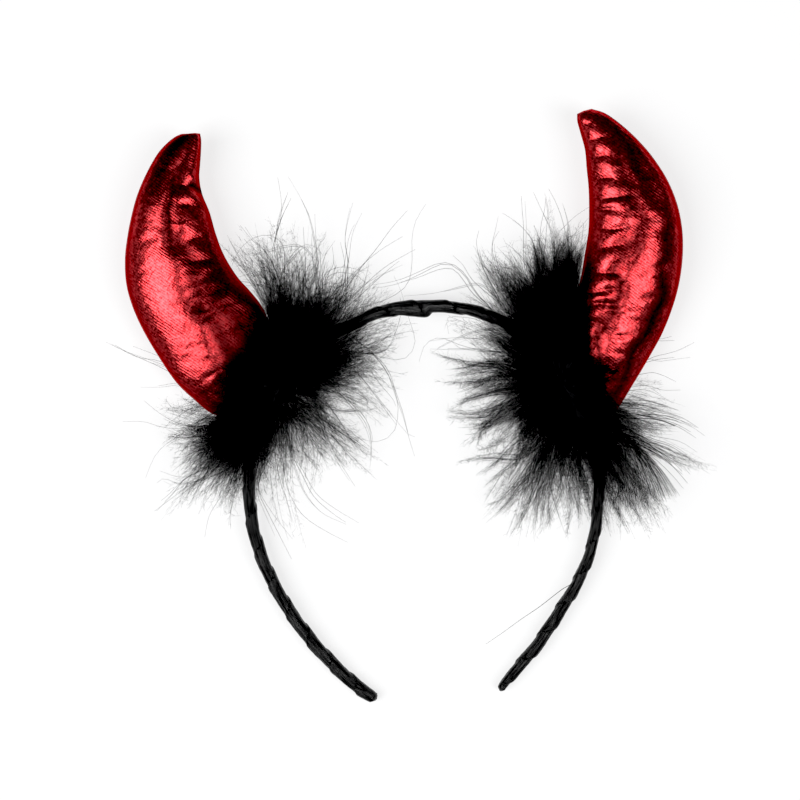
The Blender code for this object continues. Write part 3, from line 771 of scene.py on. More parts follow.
# Single long strands, locks and fan barbs, each from its root to its tip, in mm of the row frame.
LEFT_WISPS = (
    ((-28.7, 27.3), (-29.4, 41.7), (-29.7, 48.0), (-30.3, 53.6), (-31.5, 60.8), (-33.1, 67.2), (-36.2, 73.5), (-40.3, 80.6)),
    ((-39.9, 27.3), (-43.4, 39.9), (-45.9, 51.1), (-45.5, 57.1), (-43.4, 63.9), (-42.7, 71.1), (-44.1, 80.6)),
    ((-45.2, 58.1), (-43.1, 67.2), (-40.6, 75.5)),
    ((-42.4, 41.3), (-41.7, 51.1), (-42.2, 56.7), (-45.0, 59.5), (-49.0, 60.2), (-53.7, 58.5), (-57.8, 54.3), (-59.9, 49.7)),
    ((-30.8, 41.3), (-31.5, 51.1), (-35.4, 56.0), (-41.0, 56.0), (-46.6, 54.6), (-52.2, 53.2), (-57.1, 54.3), (-59.9, 56.7)),
    ((-42.4, 41.3), (-46.2, 51.1), (-49.0, 55.1), (-52.9, 58.5), (-57.4, 63.9)),
    ((-49.7, 37.8), (-55.0, 47.6), (-58.5, 54.3), (-61.3, 59.9)),
    ((-45.5, 32.6), (-46.6, 38.5), (-48.3, 44.8), (-50.6, 50.4), (-51.0, 56.7)),
    ((-42.0, 34.3), (-43.4, 39.9), (-45.9, 48.0), (-48.7, 56.0)),
    ((-32.9, 41.3), (-40.3, 48.0), (-46.6, 48.0), (-52.2, 47.1), (-57.8, 45.5)),
    ((-41.7, 37.8), (-46.6, 41.7), (-52.2, 43.2), (-57.1, 44.1)),
    ((-43.4, 37.8), (-42.7, 45.5), (-40.3, 50.4), (-37.1, 54.3), (-34.0, 56.4), (-31.5, 55.1), (-30.8, 51.1)),
    ((-20.6, 34.3), (-19.6, 49.7), (-20.6, 57.6), (-19.9, 63.9), (-17.9, 71.9)),
    ((-23.1, 34.3), (-20.6, 44.8), (-19.2, 52.0), (-17.9, 60.8), (-14.7, 67.9)),
    ((-24.1, 34.3), (-18.2, 44.5), (-9.1, 56.0), (-4.5, 62.3), (1.1, 68.6)),
    ((-25.9, 34.3), (-21.3, 43.1), (-15.6, 48.8), (-9.1, 54.4), (-0.4, 59.9)),
    ((-25.9, 30.8), (-18.9, 37.8), (-10.8, 45.6), (-4.5, 50.4), (3.9, 55.1)),
    ((-18.9, 34.3), (-6.6, 37.8), (1.1, 43.1), (2.8, 51.1), (2.8, 59.2), (4.2, 65.5), (7.6, 71.1)),
    ((-18.9, 22.0), (-13.3, 18.9), (-7.7, 17.8), (-3.5, 16.8), (0.0, 17.1), (2.8, 19.6), (3.9, 23.8), (2.5, 28.7), (0.7, 34.3), (-1.0, 40.6), (-3.5, 45.9)),
    ((-22.4, 20.3), (-13.6, 18.9), (-6.3, 20.3), (-2.8, 26.6), (-1.0, 33.6), (-1.4, 38.5)),
    ((-29.0, 37.8), (-29.0, 48.0), (-27.5, 53.6), (-24.3, 58.8)),
    ((-30.4, 41.3), (-30.4, 51.1), (-30.8, 59.9), (-31.2, 67.9)),
    ((-34.3, 41.3), (-34.3, 51.1), (-34.7, 57.4), (-35.0, 63.0)),
    ((-28.0, 37.8), (-27.5, 44.8), (-24.7, 50.4), (-25.2, 56.7)),
    ((-27.6, 36.1), (-27.5, 42.4), (-26.7, 45.6), (-22.7, 47.3), (-17.1, 46.4), (-13.3, 43.8)),
    ((-24.1, 20.3), (-18.9, 15.0), (-14.0, 9.8), (-8.4, 2.8), (-2.8, -4.2), (1.4, -9.1), (3.9, -10.2)),
    ((-18.9, 25.5), (-11.2, 19.6), (-5.6, 13.3), (-2.8, 5.6), (0.0, -2.8), (1.8, -10.5), (3.7, -16.8)),
    ((-18.9, 23.8), (-11.9, 20.3), (-4.9, 10.5), (-2.4, 2.8), (-2.1, -2.8), (-3.5, -8.4), (-7.0, -11.2), (-11.2, -11.9), (-16.1, -10.2), (-19.6, -7.4)),
    ((-29.4, 11.5), (-23.8, 6.3), (-18.9, 2.1), (-14.0, -2.8), (-11.9, -7.0), (-11.3, -12.6), (-11.4, -18.2)),
    ((-20.6, 20.3), (-12.6, 14.0), (-8.4, 8.4), (-4.2, 3.5), (-2.8, 0.7)),
    ((-31.2, 16.8), (-28.0, 9.8), (-25.9, 2.8), (-24.1, -4.2), (-23.4, -9.1)),
    ((-27.6, 2.8), (-20.3, -7.7), (-16.1, -14.7)),
    ((-59.2, 3.5), (-71.4, 8.4), (-83.9, 14.7), (-90.7, 17.3), (-98.1, 19.9), (-104.9, 23.1)),
    ((-59.2, 2.1), (-73.2, 9.8), (-85.5, 16.3), (-93.9, 17.8), (-103.3, 22.6)),
    ((-59.2, 1.0), (-67.9, 5.6), (-76.5, 8.2), (-85.5, 7.3), (-92.8, 7.3)),
    ((-57.4, -6.0), (-69.7, -8.4), (-74.9, -7.4), (-83.4, -6.9), (-90.7, -4.8), (-98.1, -4.8)),
    ((-57.4, -4.2), (-66.2, -6.0), (-72.8, -6.3), (-79.1, -5.3), (-85.5, -1.6), (-90.7, 2.6)),
    ((-59.2, -0.7), (-69.7, 1.4), (-74.9, 1.0), (-81.3, -0.0), (-83.9, 3.1)),
    ((-57.4, -4.2), (-73.9, -9.0), (-81.3, -11.6), (-86.5, -16.8), (-89.7, -24.2)),
    ((-53.9, -11.2), (-62.3, -18.9), (-66.5, -22.1), (-73.9, -26.3), (-81.3, -31.6), (-87.6, -36.3)),
    ((-59.2, -14.7), (-69.7, -21.1), (-77.0, -25.3), (-80.2, -29.5), (-86.5, -36.1)),
    ((-55.7, -13.0), (-63.4, -18.9), (-67.6, -23.2), (-71.3, -28.4), (-72.8, -33.7)),
    ((-53.9, -14.7), (-60.2, -25.3), (-64.4, -31.6), (-68.1, -37.9), (-69.7, -45.2)),
    ((-48.7, -11.2), (-49.7, -21.8), (-50.8, -28.4), (-47.6, -35.8), (-43.4, -44.2), (-39.2, -52.6)),
    ((-43.4, -11.2), (-41.3, -25.3), (-39.2, -31.6), (-35.0, -37.9), (-27.6, -43.1), (-19.8, -47.3)),
    ((-41.7, -4.2), (-38.2, -16.8), (-35.0, -22.1), (-30.8, -29.5), (-24.5, -34.7), (-15.6, -40.0)),
    ((-41.7, -7.7), (-37.1, -23.2), (-34.0, -30.5), (-28.7, -36.8), (-20.3, -41.0)),
    ((-34.7, 9.8), (-28.7, -4.2), (-26.6, -10.5), (-22.4, -18.9), (-17.1, -27.4)),
    ((-29.4, 13.3), (-22.4, 6.3), (-17.1, -0.0), (-12.9, -6.3), (-11.4, -12.6), (-11.9, -21.1)),
    ((-55.7, -13.0), (-64.4, -18.9), (-70.7, -22.1), (-78.1, -24.2), (-85.5, -22.1)),
    ((-55.7, -16.5), (-62.7, -21.8), (-71.8, -25.3), (-79.1, -26.3), (-83.9, -24.7), (-86.5, -26.3)),
    ((-46.2, -11.2), (-43.4, -25.3), (-41.3, -31.6), (-39.2, -40.3)),
)
RIGHT_WISPS = (
    ((58.2, 41.3), (57.5, 55.3), (55.6, 63.6), (54.3, 67.9), (52.4, 72.3), (50.3, 76.1)),
    ((53.3, 37.8), (52.4, 51.7), (52.4, 57.1), (51.4, 61.4), (49.4, 65.2), (47.0, 70.1), (44.9, 74.7)),
    ((53.3, 41.3), (52.6, 53.6), (51.9, 60.4), (50.8, 63.6), (48.9, 68.3)),
    ((47.7, 44.8), (47.3, 55.3), (48.0, 64.1), (49.2, 69.0), (50.0, 74.2)),
    ((43.5, 41.3), (42.1, 51.1), (41.9, 58.1), (41.9, 63.6), (41.5, 69.0), (41.2, 74.4)),
    ((47.7, 39.6), (46.3, 49.5), (45.9, 54.4), (44.4, 59.3), (41.6, 63.0), (38.4, 65.8), (34.6, 68.3)),
    ((35.4, 41.3), (31.9, 51.1), (30.9, 57.1), (31.9, 61.5), (33.2, 67.4)),
    ((35.4, 37.8), (33.0, 44.6), (31.4, 49.0), (30.5, 53.9), (31.1, 58.1), (33.0, 61.5)),
    ((33.7, 37.8), (29.7, 44.6), (27.5, 48.5), (26.0, 52.9), (25.1, 57.6), (26.0, 61.5)),
    ((33.7, 36.1), (25.4, 43.1), (22.7, 46.3), (20.5, 50.1), (17.2, 53.3)),
    ((30.9, 34.3), (24.8, 40.3), (22.7, 44.1), (19.4, 48.0), (15.6, 50.1), (11.8, 49.7), (5.6, 46.6), (-0.7, 43.8), (-6.3, 42.4), (-14.0, 41.3)),
    ((33.7, 37.8), (26.7, 43.4), (20.0, 42.5), (14.6, 41.0), (9.1, 40.0), (0.0, 39.3)),
    ((53.3, 41.3), (52.2, 53.6), (52.9, 59.3), (55.7, 63.0), (59.9, 66.9), (64.4, 69.8)),
    ((53.3, 44.8), (55.2, 55.0), (57.8, 58.7), (61.1, 62.5), (64.4, 66.3)),
    ((53.3, 43.1), (54.1, 52.9), (56.3, 57.6), (60.0, 60.4), (64.4, 62.8)),
    ((45.9, 44.8), (40.0, 53.9), (37.3, 56.6), (35.8, 57.8)),
    ((44.2, 43.1), (37.9, 48.0), (33.5, 49.0), (29.7, 49.5)),
    ((47.0, 43.1), (47.0, 54.4), (48.0, 59.9), (49.4, 63.6)),
    ((46.6, 43.1), (45.9, 52.9), (46.3, 57.1), (46.5, 62.0)),
    ((75.7, 12.6), (87.6, 17.8), (91.8, 18.9), (96.7, 20.3), (102.3, 23.1)),
    ((75.7, 13.3), (86.2, 17.1), (89.7, 16.4), (95.3, 17.1), (100.9, 17.8)),
    ((79.2, 19.6), (88.7, 23.4), (91.1, 23.6), (95.3, 23.8)),
    ((74.0, 9.8), (84.8, 12.2), (88.3, 11.9), (91.8, 10.5), (94.6, 9.1)),
    ((72.2, 6.3), (82.7, 7.7), (85.5, 8.0), (91.1, 6.3), (97.4, 6.3)),
    ((70.5, 4.5), (80.6, 6.3), (85.5, 5.9), (90.4, 3.5), (93.6, 1.7)),
    ((44.2, 20.3), (36.1, 25.2), (25.3, 28.3), (15.6, 32.2)),
    ((40.7, 19.6), (31.9, 23.4), (25.3, 24.1), (17.2, 24.5), (9.1, 23.4)),
    ((37.2, 23.8), (26.7, 30.1), (20.4, 31.5), (15.1, 31.2), (15.6, 25.7)),
    ((40.7, 21.0), (30.2, 19.6), (20.4, 21.7), (12.6, 24.5), (7.4, 22.0), (5.3, 16.1)),
    ((38.9, 18.5), (26.7, 20.3), (17.9, 20.3), (9.1, 20.6)),
    ((42.4, 22.0), (33.7, 27.3), (23.2, 25.9), (14.4, 22.0), (10.2, 19.6)),
)
RIGHT_FAN = (
    ((68.7, 1.0), (78.5, -0.7), (84.1, -1.4), (89.7, -2.5), (95.3, -3.5), (100.9, -6.3), (106.0, -9.8)),
    ((68.7, 2.8), (79.2, 1.4), (84.8, 0.7), (91.8, -1.4), (98.1, -3.5), (103.7, -7.0)),
    ((68.7, -0.7), (77.8, -3.5), (82.7, -3.5), (89.7, -4.2), (96.7, -7.0), (102.3, -10.5)),
    ((68.7, -2.5), (79.2, -7.0), (85.5, -9.5), (91.1, -10.5), (96.7, -11.9), (102.3, -15.4)),
    ((68.7, -4.2), (79.9, -8.4), (87.6, -11.6), (93.2, -13.3), (98.8, -16.8), (103.0, -20.0)),
    ((68.7, -6.0), (79.2, -9.8), (84.1, -11.9), (89.7, -14.7), (95.3, -18.2), (100.2, -23.2)),
    ((68.7, -7.7), (79.2, -11.2), (84.1, -14.0), (89.7, -16.8), (94.6, -21.1), (99.2, -26.3)),
    ((68.7, -8.4), (78.5, -11.9), (84.5, -15.4), (89.7, -19.7), (93.9, -23.9), (97.4, -28.1)),
)
RIGHT_LOCKS = (
    ((40.7, 16.1), (30.2, 16.8), (21.8, 14.3), (14.2, 13.6)),
    ((38.9, 14.0), (25.1, 15.5), (15.4, 17.5), (9.1, 19.9)),
    ((40.7, 14.7), (31.4, 14.3), (21.8, 12.3), (14.7, 11.4)),
    ((38.9, 13.3), (24.9, 9.8), (15.4, 8.8), (10.4, 10.1)),
    ((42.4, 12.6), (33.3, 11.7), (25.1, 9.1), (18.6, 7.0)),
    ((42.4, 10.5), (32.6, 9.8), (24.4, 6.6), (17.1, 4.7)),
    ((42.4, 9.1), (33.3, 7.3), (25.1, 4.2), (18.2, 2.4)),
    ((43.5, 4.5), (33.3, 0.3), (25.6, -2.0), (18.6, -1.4), (13.6, -0.4)),
    ((40.7, 7.0), (27.0, 4.2), (20.6, 2.1), (15.8, -0.7)),
    ((44.2, 2.8), (34.6, -1.1), (27.0, -3.5), (18.6, -3.5), (13.0, -2.8)),
    ((44.2, 1.0), (33.3, -3.5), (25.6, -6.2), (19.3, -6.3)),
    ((45.9, -0.7), (35.8, -4.2), (28.2, -6.7), (21.8, -8.1)),
    ((38.9, 2.8), (30.2, -4.2), (27.6, -8.1), (25.3, -14.4)),
    ((45.9, -2.5), (36.5, -9.3), (30.9, -13.2), (24.4, -15.4)),
    ((49.4, -11.2), (42.2, -16.8), (37.2, -17.5), (30.2, -16.8), (23.9, -17.9), (17.4, -19.5)),
    ((47.7, -6.0), (37.9, -13.2), (34.6, -16.8), (30.2, -20.7), (25.3, -23.9)),
    ((49.4, -7.7), (42.8, -15.1), (37.9, -20.2), (32.6, -23.9), (27.9, -27.7)),
    ((49.4, -11.2), (42.2, -23.9), (37.2, -29.7), (32.6, -33.5), (27.6, -34.4)),
    ((51.2, -9.5), (44.9, -20.7), (39.1, -28.4), (33.3, -36.1), (27.4, -41.4)),
    ((51.2, -11.2), (42.2, -27.2), (36.5, -33.5), (32.1, -39.3)),
    ((52.9, -11.2), (47.3, -26.0), (44.2, -33.5), (41.0, -40.0), (39.1, -44.9)),
    ((52.9, -13.0), (47.3, -31.6), (46.1, -38.6), (45.4, -45.2)),
    ((54.0, -13.0), (48.6, -30.3), (48.0, -37.3), (47.7, -43.5)),
    ((54.7, -13.0), (50.5, -30.3), (50.8, -37.3), (51.2, -43.7)),
    ((58.9, -11.2), (58.5, -32.3), (57.5, -40.0), (56.3, -46.3)),
    ((61.7, -11.2), (61.7, -27.0), (61.3, -36.7), (62.0, -43.1)),
    ((59.9, -11.2), (63.4, -25.3), (64.5, -34.0), (65.2, -39.3)),
    ((68.7, -14.7), (75.0, -26.7), (74.3, -30.9), (72.2, -35.8)),
    ((68.0, -14.7), (72.9, -29.5), (70.8, -33.0)),
    ((58.0, 30.0), (60.2, 40.0), (61.4, 49.0), (61.8, 57.5)),
    ((58.8, 27.0), (61.0, 36.0), (62.2, 45.0), (62.2, 54.0)),
    ((56.0, 30.0), (59.0, 42.0), (60.2, 51.0), (59.0, 60.0)),
)
VANE_QUILL = (
    ((72.9, -6.0), (80.6, -13.3), (82.7, -16.8), (85.5, -23.2), (87.6, -30.9), (89.0, -35.1)),
)
STRAY_WISP = (
    ((60.6, -61.3), (55.7, -63.4), (47.7, -69.1), (40.7, -73.6), (33.7, -78.5), (28.4, -82.0)),
)
HEART = 0.74  # how much of the dense reach the dark heart fills
HEART_TOP, HEART_BOTTOM = 13.5, 9.5
FLOOR_CLEAR = 0.00025
HIGHEST = 0.0375


def by_direction(table, degrees):
    """The table's columns at these directions, read smoothly round the circle."""
    rows = np.array(table, float)
    at = np.concatenate([rows[:, 0], [360.0]])
    return [
        np.interp(np.mod(degrees, 360), at, np.concatenate([rows[:, i], rows[:1, i]]))
        for i in range(1, rows.shape[1])
    ]


def unit(v):
    return v / np.maximum(np.linalg.norm(v, axis=-1, keepdims=True), 1e-12)


def settle(points):
    """Strands that would dip below the surface lie along it, and none stands too high."""
    low, soft = points[..., 2], 0.0009
    low = FLOOR_CLEAR + np.where(
        low > 4 * soft, low, soft * np.log1p(np.exp(np.clip(low / soft, -30, 30)))
    )
    points[..., 2] = np.minimum(low, HIGHEST)
    return points


def strands(roots, aims, lengths, curls, droop, count, rng, wave=0.0):
    """Curved strands as points, n by count by 3, in metres. curls: how far each turns sideways
    and upward over its length, in radians."""
    n = len(roots)
    aims = unit(aims)
    up = np.array([0.0, 0.0, 1.0])
    side = unit(np.cross(np.tile(up, (n, 1)), aims) + 1e-6)
    points = np.zeros((n, count, 3))
    points[:, 0] = roots
    direction = aims
    step = (lengths / (count - 1))[:, None]
    phase = rng.uniform(0, 2 * np.pi, n)
    for k in range(1, count):
        share = k / (count - 1)
        bend = curls[:, 0] * share * 1.6 + wave * np.sin(phase + share * 7)
        rise = curls[:, 1] * share - droop * share
        direction = unit(
            aims + side * np.tan(np.clip(bend, -1.25, 1.25))[:, None] + up * rise[:, None]
        )
        points[:, k] = points[:, k - 1] + direction * step
    return settle(points)


def within(points):
    """Draws in the few tips that would reach past the room that the part may take up."""
    points = points.copy()
    for axis, room in ((0, 0.107), (1, 0.107), (2, 0.0385)):
        past = np.maximum(np.abs(points[..., axis]) - room, 0)
        points[..., axis] -= np.sign(points[..., axis]) * past * 0.85
    return points


def ribbons(points, widths, rng):
    """Flat ribbons along the strands, each turned its own way. Returns points and quads."""
    points = within(points)
    n, count, _ = points.shape
    tangent = unit(np.gradient(points, axis=1))
    spin = unit(rng.normal(size=(n, 1, 3)))
    side = unit(np.cross(tangent, np.broadcast_to(spin, points.shape)))
    a = points + side * widths[..., None] / 2
    b = points - side * widths[..., None] / 2
    verts = np.stack([a, b], axis=2).reshape(-1, 3)
    start = (np.arange(n) * count * 2)[:, None] + np.arange(count - 1) * 2
    quads = np.stack([start, start + 1, start + 3, start + 2], -1).reshape(-1, 4)
    return verts, quads


def tubes(points, widths):
    """Three-sided tubes along the strands, which show the same from every side."""
    points = within(points)
    n, count, _ = points.shape
    tangent = unit(np.gradient(points, axis=1))
    first = unit(np.cross(tangent, np.array([0.0, 0.0, 1.0]) + 1e-4))
    second = np.cross(tangent, first)
    turn = np.arange(3) * 2 * np.pi / 3
    ring = (
        first[:, :, None] * np.cos(turn)[None, None, :, None]
        + second[:, :, None] * np.sin(turn)[None, None, :, None]
    )
    verts = (points[:, :, None] + ring * widths[:, :, None, None] / 2).reshape(-1, 3)
    start = (np.arange(n) * count * 3)[:, None, None]
    row = (np.arange(count - 1) * 3)[None, :, None]
    one = np.arange(3)[None, None, :]
    two = (one + 1) % 3
    quads = np.stack(
        [start + row + one, start + row + two, start + row + two + 3, start + row + one + 3], -1
    ).reshape(-1, 4)
    return verts, quads


class Ground:
    """The horns' upper and lower surface as a grid, so that no strand runs through them."""

    def __init__(self, surfaces, cell=0.0007):
        self.cell = cell
        every = np.vstack(surfaces)
        self.low = every[:, :2].min(0) - 0.01
        size = ((every[:, :2].max(0) + 0.01 - self.low) / cell).astype(int) + 1
        self.top = np.full(size, -1.0)
        self.bottom = np.full(size, 1.0)
        for points in surfaces:
            i, j = ((points[:, :2] - self.low) / cell).astype(int).T
            np.maximum.at(self.top, (i, j), points[:, 2])
            np.minimum.at(self.bottom, (i, j), points[:, 2])

    def cells(self, points):
        where = ((points[..., :2] - self.low) / self.cell).astype(int)
        ok = ((where >= 0) & (where < np.array(self.top.shape))).all(-1)
        where = np.where(ok[..., None], where, 0)
        return ok, self.top[where[..., 0], where[..., 1]], self.bottom[where[..., 0], where[..., 1]]

    def inside(self, points, margin=0.0004):
        ok, top, bottom = self.cells(points)
        return ok & (points[..., 2] < top + margin) & (points[..., 2] > bottom - margin)

    def above(self, points):
        ok, top, _ = self.cells(points)
        return ok & (top > 0) & (points[..., 2] > top)


def locks(guides, per_lock, spread, gather, rng):
    """Strands that start spread round each guide and draw together toward its tip."""
    m, count, _ = guides.shape
    n = m * per_lock
    which = np.repeat(np.arange(m), per_lock)
    reach = rng.uniform(0.78, 1.0, n)
    share = np.linspace(0, 1, count)
    spot = share[None] * reach[:, None] * (count - 1)
    low = np.minimum(spot.astype(int), count - 2)
    part = (spot - low)[..., None]
    line = guides[which[:, None], low] * (1 - part) + guides[which[:, None], low + 1] * part
    offset = rng.normal(size=(n, 1, 3)) * np.array([1, 1, 0.7]) * spread * MM
    swing = rng.normal(size=(n, 1, 3)) * 0.35 * MM
    closing = (1 - gather * share**1.2)[None, :, None]
    return settle(line + offset * closing + swing * (share**2)[None, :, None])


def guides_around(middle, reach, count, lift_low, lift_high, inner, outer, curl, rng):
    """Guides that set out from the fluff's heart in every direction, mm to metres."""
    # More of them set out where the down is deep and dense.
    fine = np.arange(0.0, 360.0, 1.0)
    dense, half = by_direction(reach, fine)[:2]
    weight = half * np.clip(9 / np.maximum(half - dense, 1), 0.45, 1.3) * np.sqrt(dense / 25)
    mass = np.cumsum(weight) / weight.sum()
    toward = np.interp((np.arange(count) * 0.381966 + rng.uniform(0, 0.02, count)) % 1, mass, fine)
    toward = toward + rng.uniform(-3, 3, count)
    lift = lift_low + (lift_high - lift_low) * rng.beta(1.1, 1.6, count)
    dense, half, grey, far = by_direction(reach, toward)
    angle, high = np.radians(toward), np.radians(lift)
    start = dense * HEART * rng.uniform(0.45, 0.9, count)
    roots = np.stack(
        [
            middle[0] + np.cos(angle) * start * np.cos(high),
            middle[1] + np.sin(angle) * start * np.cos(high),
            rng.uniform(-5, 4, count) + 5 * np.sin(np.maximum(high, 0)),
        ],
        -1,
    )
    aims = np.stack(
        [np.cos(angle) * np.cos(high), np.sin(angle) * np.cos(high), np.sin(high)], -1
    )
    # Strands end at growing distances, so that the down thins out evenly.
    u = rng.uniform(0, 1, count)
    part = np.array([0.0, inner, 0.5 * (inner + outer), outer, 1.0])
    stops = np.stack([0.7 * dense + 0.3 * half, half, (half + grey) / 2, grey, far])
    place = np.clip(np.searchsorted(part, u, side="right") - 1, 0, 3)
    share = (u - part[place]) / (part[place + 1] - part[place])
    each = np.arange(count)
    end = stops[place, each] * (1 - share) + stops[place + 1, each] * share
    end = np.where(lift > 30, np.minimum(end, 20 + (end - 20) * np.clip((75 - lift) / 45, 0, 1)), end)
    lengths = np.maximum(end - start, 6) * 1.12
    curls = np.stack([rng.normal(0, curl, count), rng.normal(0.05, 0.15, count)], -1)
    return strands(lie(roots), aims @ TILT_ROWS.T, lengths * MM, curls, 0.25, 9, rng, 0.05)


def long_strands(table, ground, band_points, extra, rng, count=16):
    """The long single strands of a table, most with a finer neighbour or two."""
    made = []
    for row in table:
        path = np.array(row, float)
        fine = smooth_rows(path, 12)
        flat, _ = resampled(fine, fine[:, :2], count)
        share = np.linspace(0, 1, count)
        tangent = unit(np.gradient(flat, axis=0))
        across = np.stack([-tangent[:, 1], tangent[:, 0]], -1)
        for j in range(1 + rng.integers(0, extra + 1)):
            upto = 1.0 if j == 0 else rng.uniform(0.6, 0.95)
            at = share * upto * (count - 1)
            low = np.minimum(at.astype(int), count - 2)
            part = (at - low)[:, None]
            line = flat[low] * (1 - part) + flat[low + 1] * part
            if j:
                sway = rng.normal(0, 1.0) * np.sin(share * 2.4) + rng.normal(0, 1.3) * share**2
                line = line + across * sway[:, None]
            tries = [(rng.uniform(5, 13), rng.uniform(4, 20)), (5, 9), (13, 16), (1.5, 3), (0.7, 1)]
            for start, end in tries + [(0.5, 0.5), (26, 30)]:
                z = start + (end - start) * share + 2.5 * min(start / 5, 1) * np.sin(np.pi * share)
                points = np.column_stack([line, z]) * MM
                if not ground.inside(points).any() and not near(points, band_points):
                    made.append(points)
                    break
    return settle(np.array(made))


def near(points, others, clear=0.0034):
    """Whether any point but the root's lies inside the wound band."""
    gaps = np.linalg.norm(points[4:, None] - others[None], axis=-1)
    return (gaps < clear).any()


def heart(name, middle, reach, look, seed):
    """The dark heart of the fluff, where down lies on down: a low lobed form under the strands."""
    around, up = 120, 44
    turn = np.linspace(0, 360, around, endpoint=False)
    dense = by_direction(reach, turn)[0]
    rows = []
    for k in range(1, up):
        high = math.pi * (k / up - 0.5)
        flat = math.cos(high) ** 0.75
        tall = HEART_TOP if high > 0 else HEART_BOTTOM
        x = middle[0] + np.cos(np.radians(turn)) * dense * HEART * flat
        y = middle[1] + np.sin(np.radians(turn)) * dense * HEART * flat
        z = np.full(around, tall * math.sin(high))
        for i in range(around):
            spread = noise.noise(Vector((x[i] * 0.22, y[i] * 0.22, z[i] * 0.22 + seed)))
            fine = noise.noise(Vector((x[i] * 0.7, y[i] * 0.7, z[i] * 0.7 + seed)))
            push = 1 + 0.26 * spread + 0.17 * fine
            x[i] = middle[0] + (x[i] - middle[0]) * push
            y[i] = middle[1] + (y[i] - middle[1]) * push
            z[i] *= push
        rows.append(np.stack([x, y, z], -1))
    points = np.vstack([np.vstack(rows), [[*middle, -HEART_BOTTOM], [*middle, HEART_TOP]]])
    world = lie(points)
    world[:, 2] = np.maximum(world[:, 2], FLOOR_CLEAR)
    last = (up - 1) * around
    ring = np.arange(around)
    ahead = (ring + 1) % around
    base = (up - 2) * around
    fans = np.vstack(
        [
            np.stack([np.full(around, last), ahead, ring], -1),
            np.stack([np.full(around, last + 1), base + ring, base + ahead], -1),
        ]
    )
    obj = mesh_object(name, world, tube_faces(up - 1, around), look, fans)
    outward(obj)
    grid = world[: last].reshape(up - 1, around, 3)
    return obj, grid


def cover(grid, middle, reach, count, rng):
    """Short strands that grow out of the heart all over and hide it."""
    up, around, _ = grid.shape
    normals = np.cross(
        np.roll(grid, -1, 1) - np.roll(grid, 1, 1), np.gradient(grid, axis=0)
    )
    areas = np.linalg.norm(normals, axis=-1)
    normals = unit(normals)
    centre = np.array([*lie([[*middle, 0]])[0][:2], 0.010])
    if ((grid - centre) * normals).sum() < 0:
        normals = -normals
    weight = areas * (grid[..., 2] > 0.0008)
    picks = rng.choice(up * around, count, p=(weight / weight.sum()).ravel())
    roots = grid.reshape(-1, 3)[picks] + rng.normal(0, 0.6, (count, 3)) * MM
    outs = normals.reshape(-1, 3)[picks]
    roots = roots - outs * 0.0012
    away = unit((roots - centre) * np.array([1, 1, 0.3]))
    clump = noise_field(roots, 60.0, 3.1)
    aims = unit(outs * 0.75 + away * 0.75 + clump * 0.75 + rng.normal(0, 0.18, (count, 3)))
    dense, half = by_direction(reach, np.degrees(np.arctan2(away[:, 1], away[:, 0])))[:2]
    room = np.maximum(half - HEART * dense, 5)
    lengths = np.minimum(room * (0.28 + 0.95 * rng.beta(1.2, 1.7, count)), 19) * MM
    lengths *= np.where(aims[:, 2] > 0.5, 0.7, 1.0)
    curls = np.stack([rng.normal(0, 0.35, count), rng.normal(-0.15, 0.2, count)], -1)
    # Where the down thins slowly its strands are finer.
    fine = np.clip(7 / np.maximum(half - dense, 1), 0.42, 1.1)
    return strands(roots, aims, lengths, curls, 0.45, 5, rng, 0.06), fine


def noise_field(points, scale, seed):
    """A smooth direction for each point, so that neighbours lean the same way."""
    made = np.zeros_like(points)
    for i, p in enumerate(points * scale + seed):
        made[i] = [noise.noise(Vector(p + apart)) for apart in (0.0, 31.7, 67.3)]
    return made


def fuzz_on(points, total, long_mm, rng, rows, middle, reach, low_share=0.1):
    """The barbules: fine short hairs along the strands, outside the dark heart."""
    n, count, _ = points.shape
    tries = 3 * total
    which = rng.integers(0, n, tries)
    at = low_share + (1 - low_share) * rng.beta(1.1, 1.3, tries) * 0.96
    spot = at * (count - 1)
    low = np.minimum(spot.astype(int), count - 2)
    part = (spot - low)[:, None]
    a, b = points[which, low], points[which, low + 1]
    start = a * (1 - part) + b * part
    away = start / MM - lie([[*middle, 0]])[0] / MM
    wide = by_direction(reach, np.degrees(np.arctan2(away[:, 1], away[:, 0])))[0] * HEART
    outside = (np.hypot(away[:, 0], away[:, 1]) / wide) ** 2 + (away[:, 2] / HEART_TOP) ** 2 > 0.98
    chosen = np.nonzero(outside)[0][:total]
    total = len(chosen)
    at, a, b, start = at[chosen], a[chosen], b[chosen], start[chosen]
    tangent = unit(b - a)
    sideways = unit(np.cross(tangent, unit(rng.normal(size=(total, 3)))))
    lean = np.radians(rng.uniform(15, 60, total))[:, None]
    aim = tangent * np.cos(lean) + sideways * np.sin(lean)
    long = rng.uniform(0.4, 1.0, total) * long_mm * (1 - 0.45 * at)
    curls = rng.normal(0, 0.35, (total, 2))
    return strands(start, aim, long * MM, curls, 0.1, rows, rng)


def free_of(points, ground, skip, rng, keep_over, middle, reach):
    return points[is_free(points, ground, skip, rng, keep_over, middle, reach)]


def is_free(points, ground, skip, rng, keep_over, middle, reach):
    """Which strands run through no horn; over a horn only a few do, and those near its base."""
    hit = ground.inside(points[:, skip:]).any(1)
    over = ground.above(points[:, skip:]).mean(1) > 0.25
    away = points[:, -1, :2] / MM - np.array(middle)
    edge = by_direction(reach, np.degrees(np.arctan2(away[:, 1], away[:, 0])))[0] * HEART
    close = np.hypot(away[:, 0], away[:, 1]) - edge < rng.uniform(0.5, 9.0, len(points))
    return ~hit & (~over | close | (rng.uniform(0, 1, len(points)) < keep_over * 0.1))


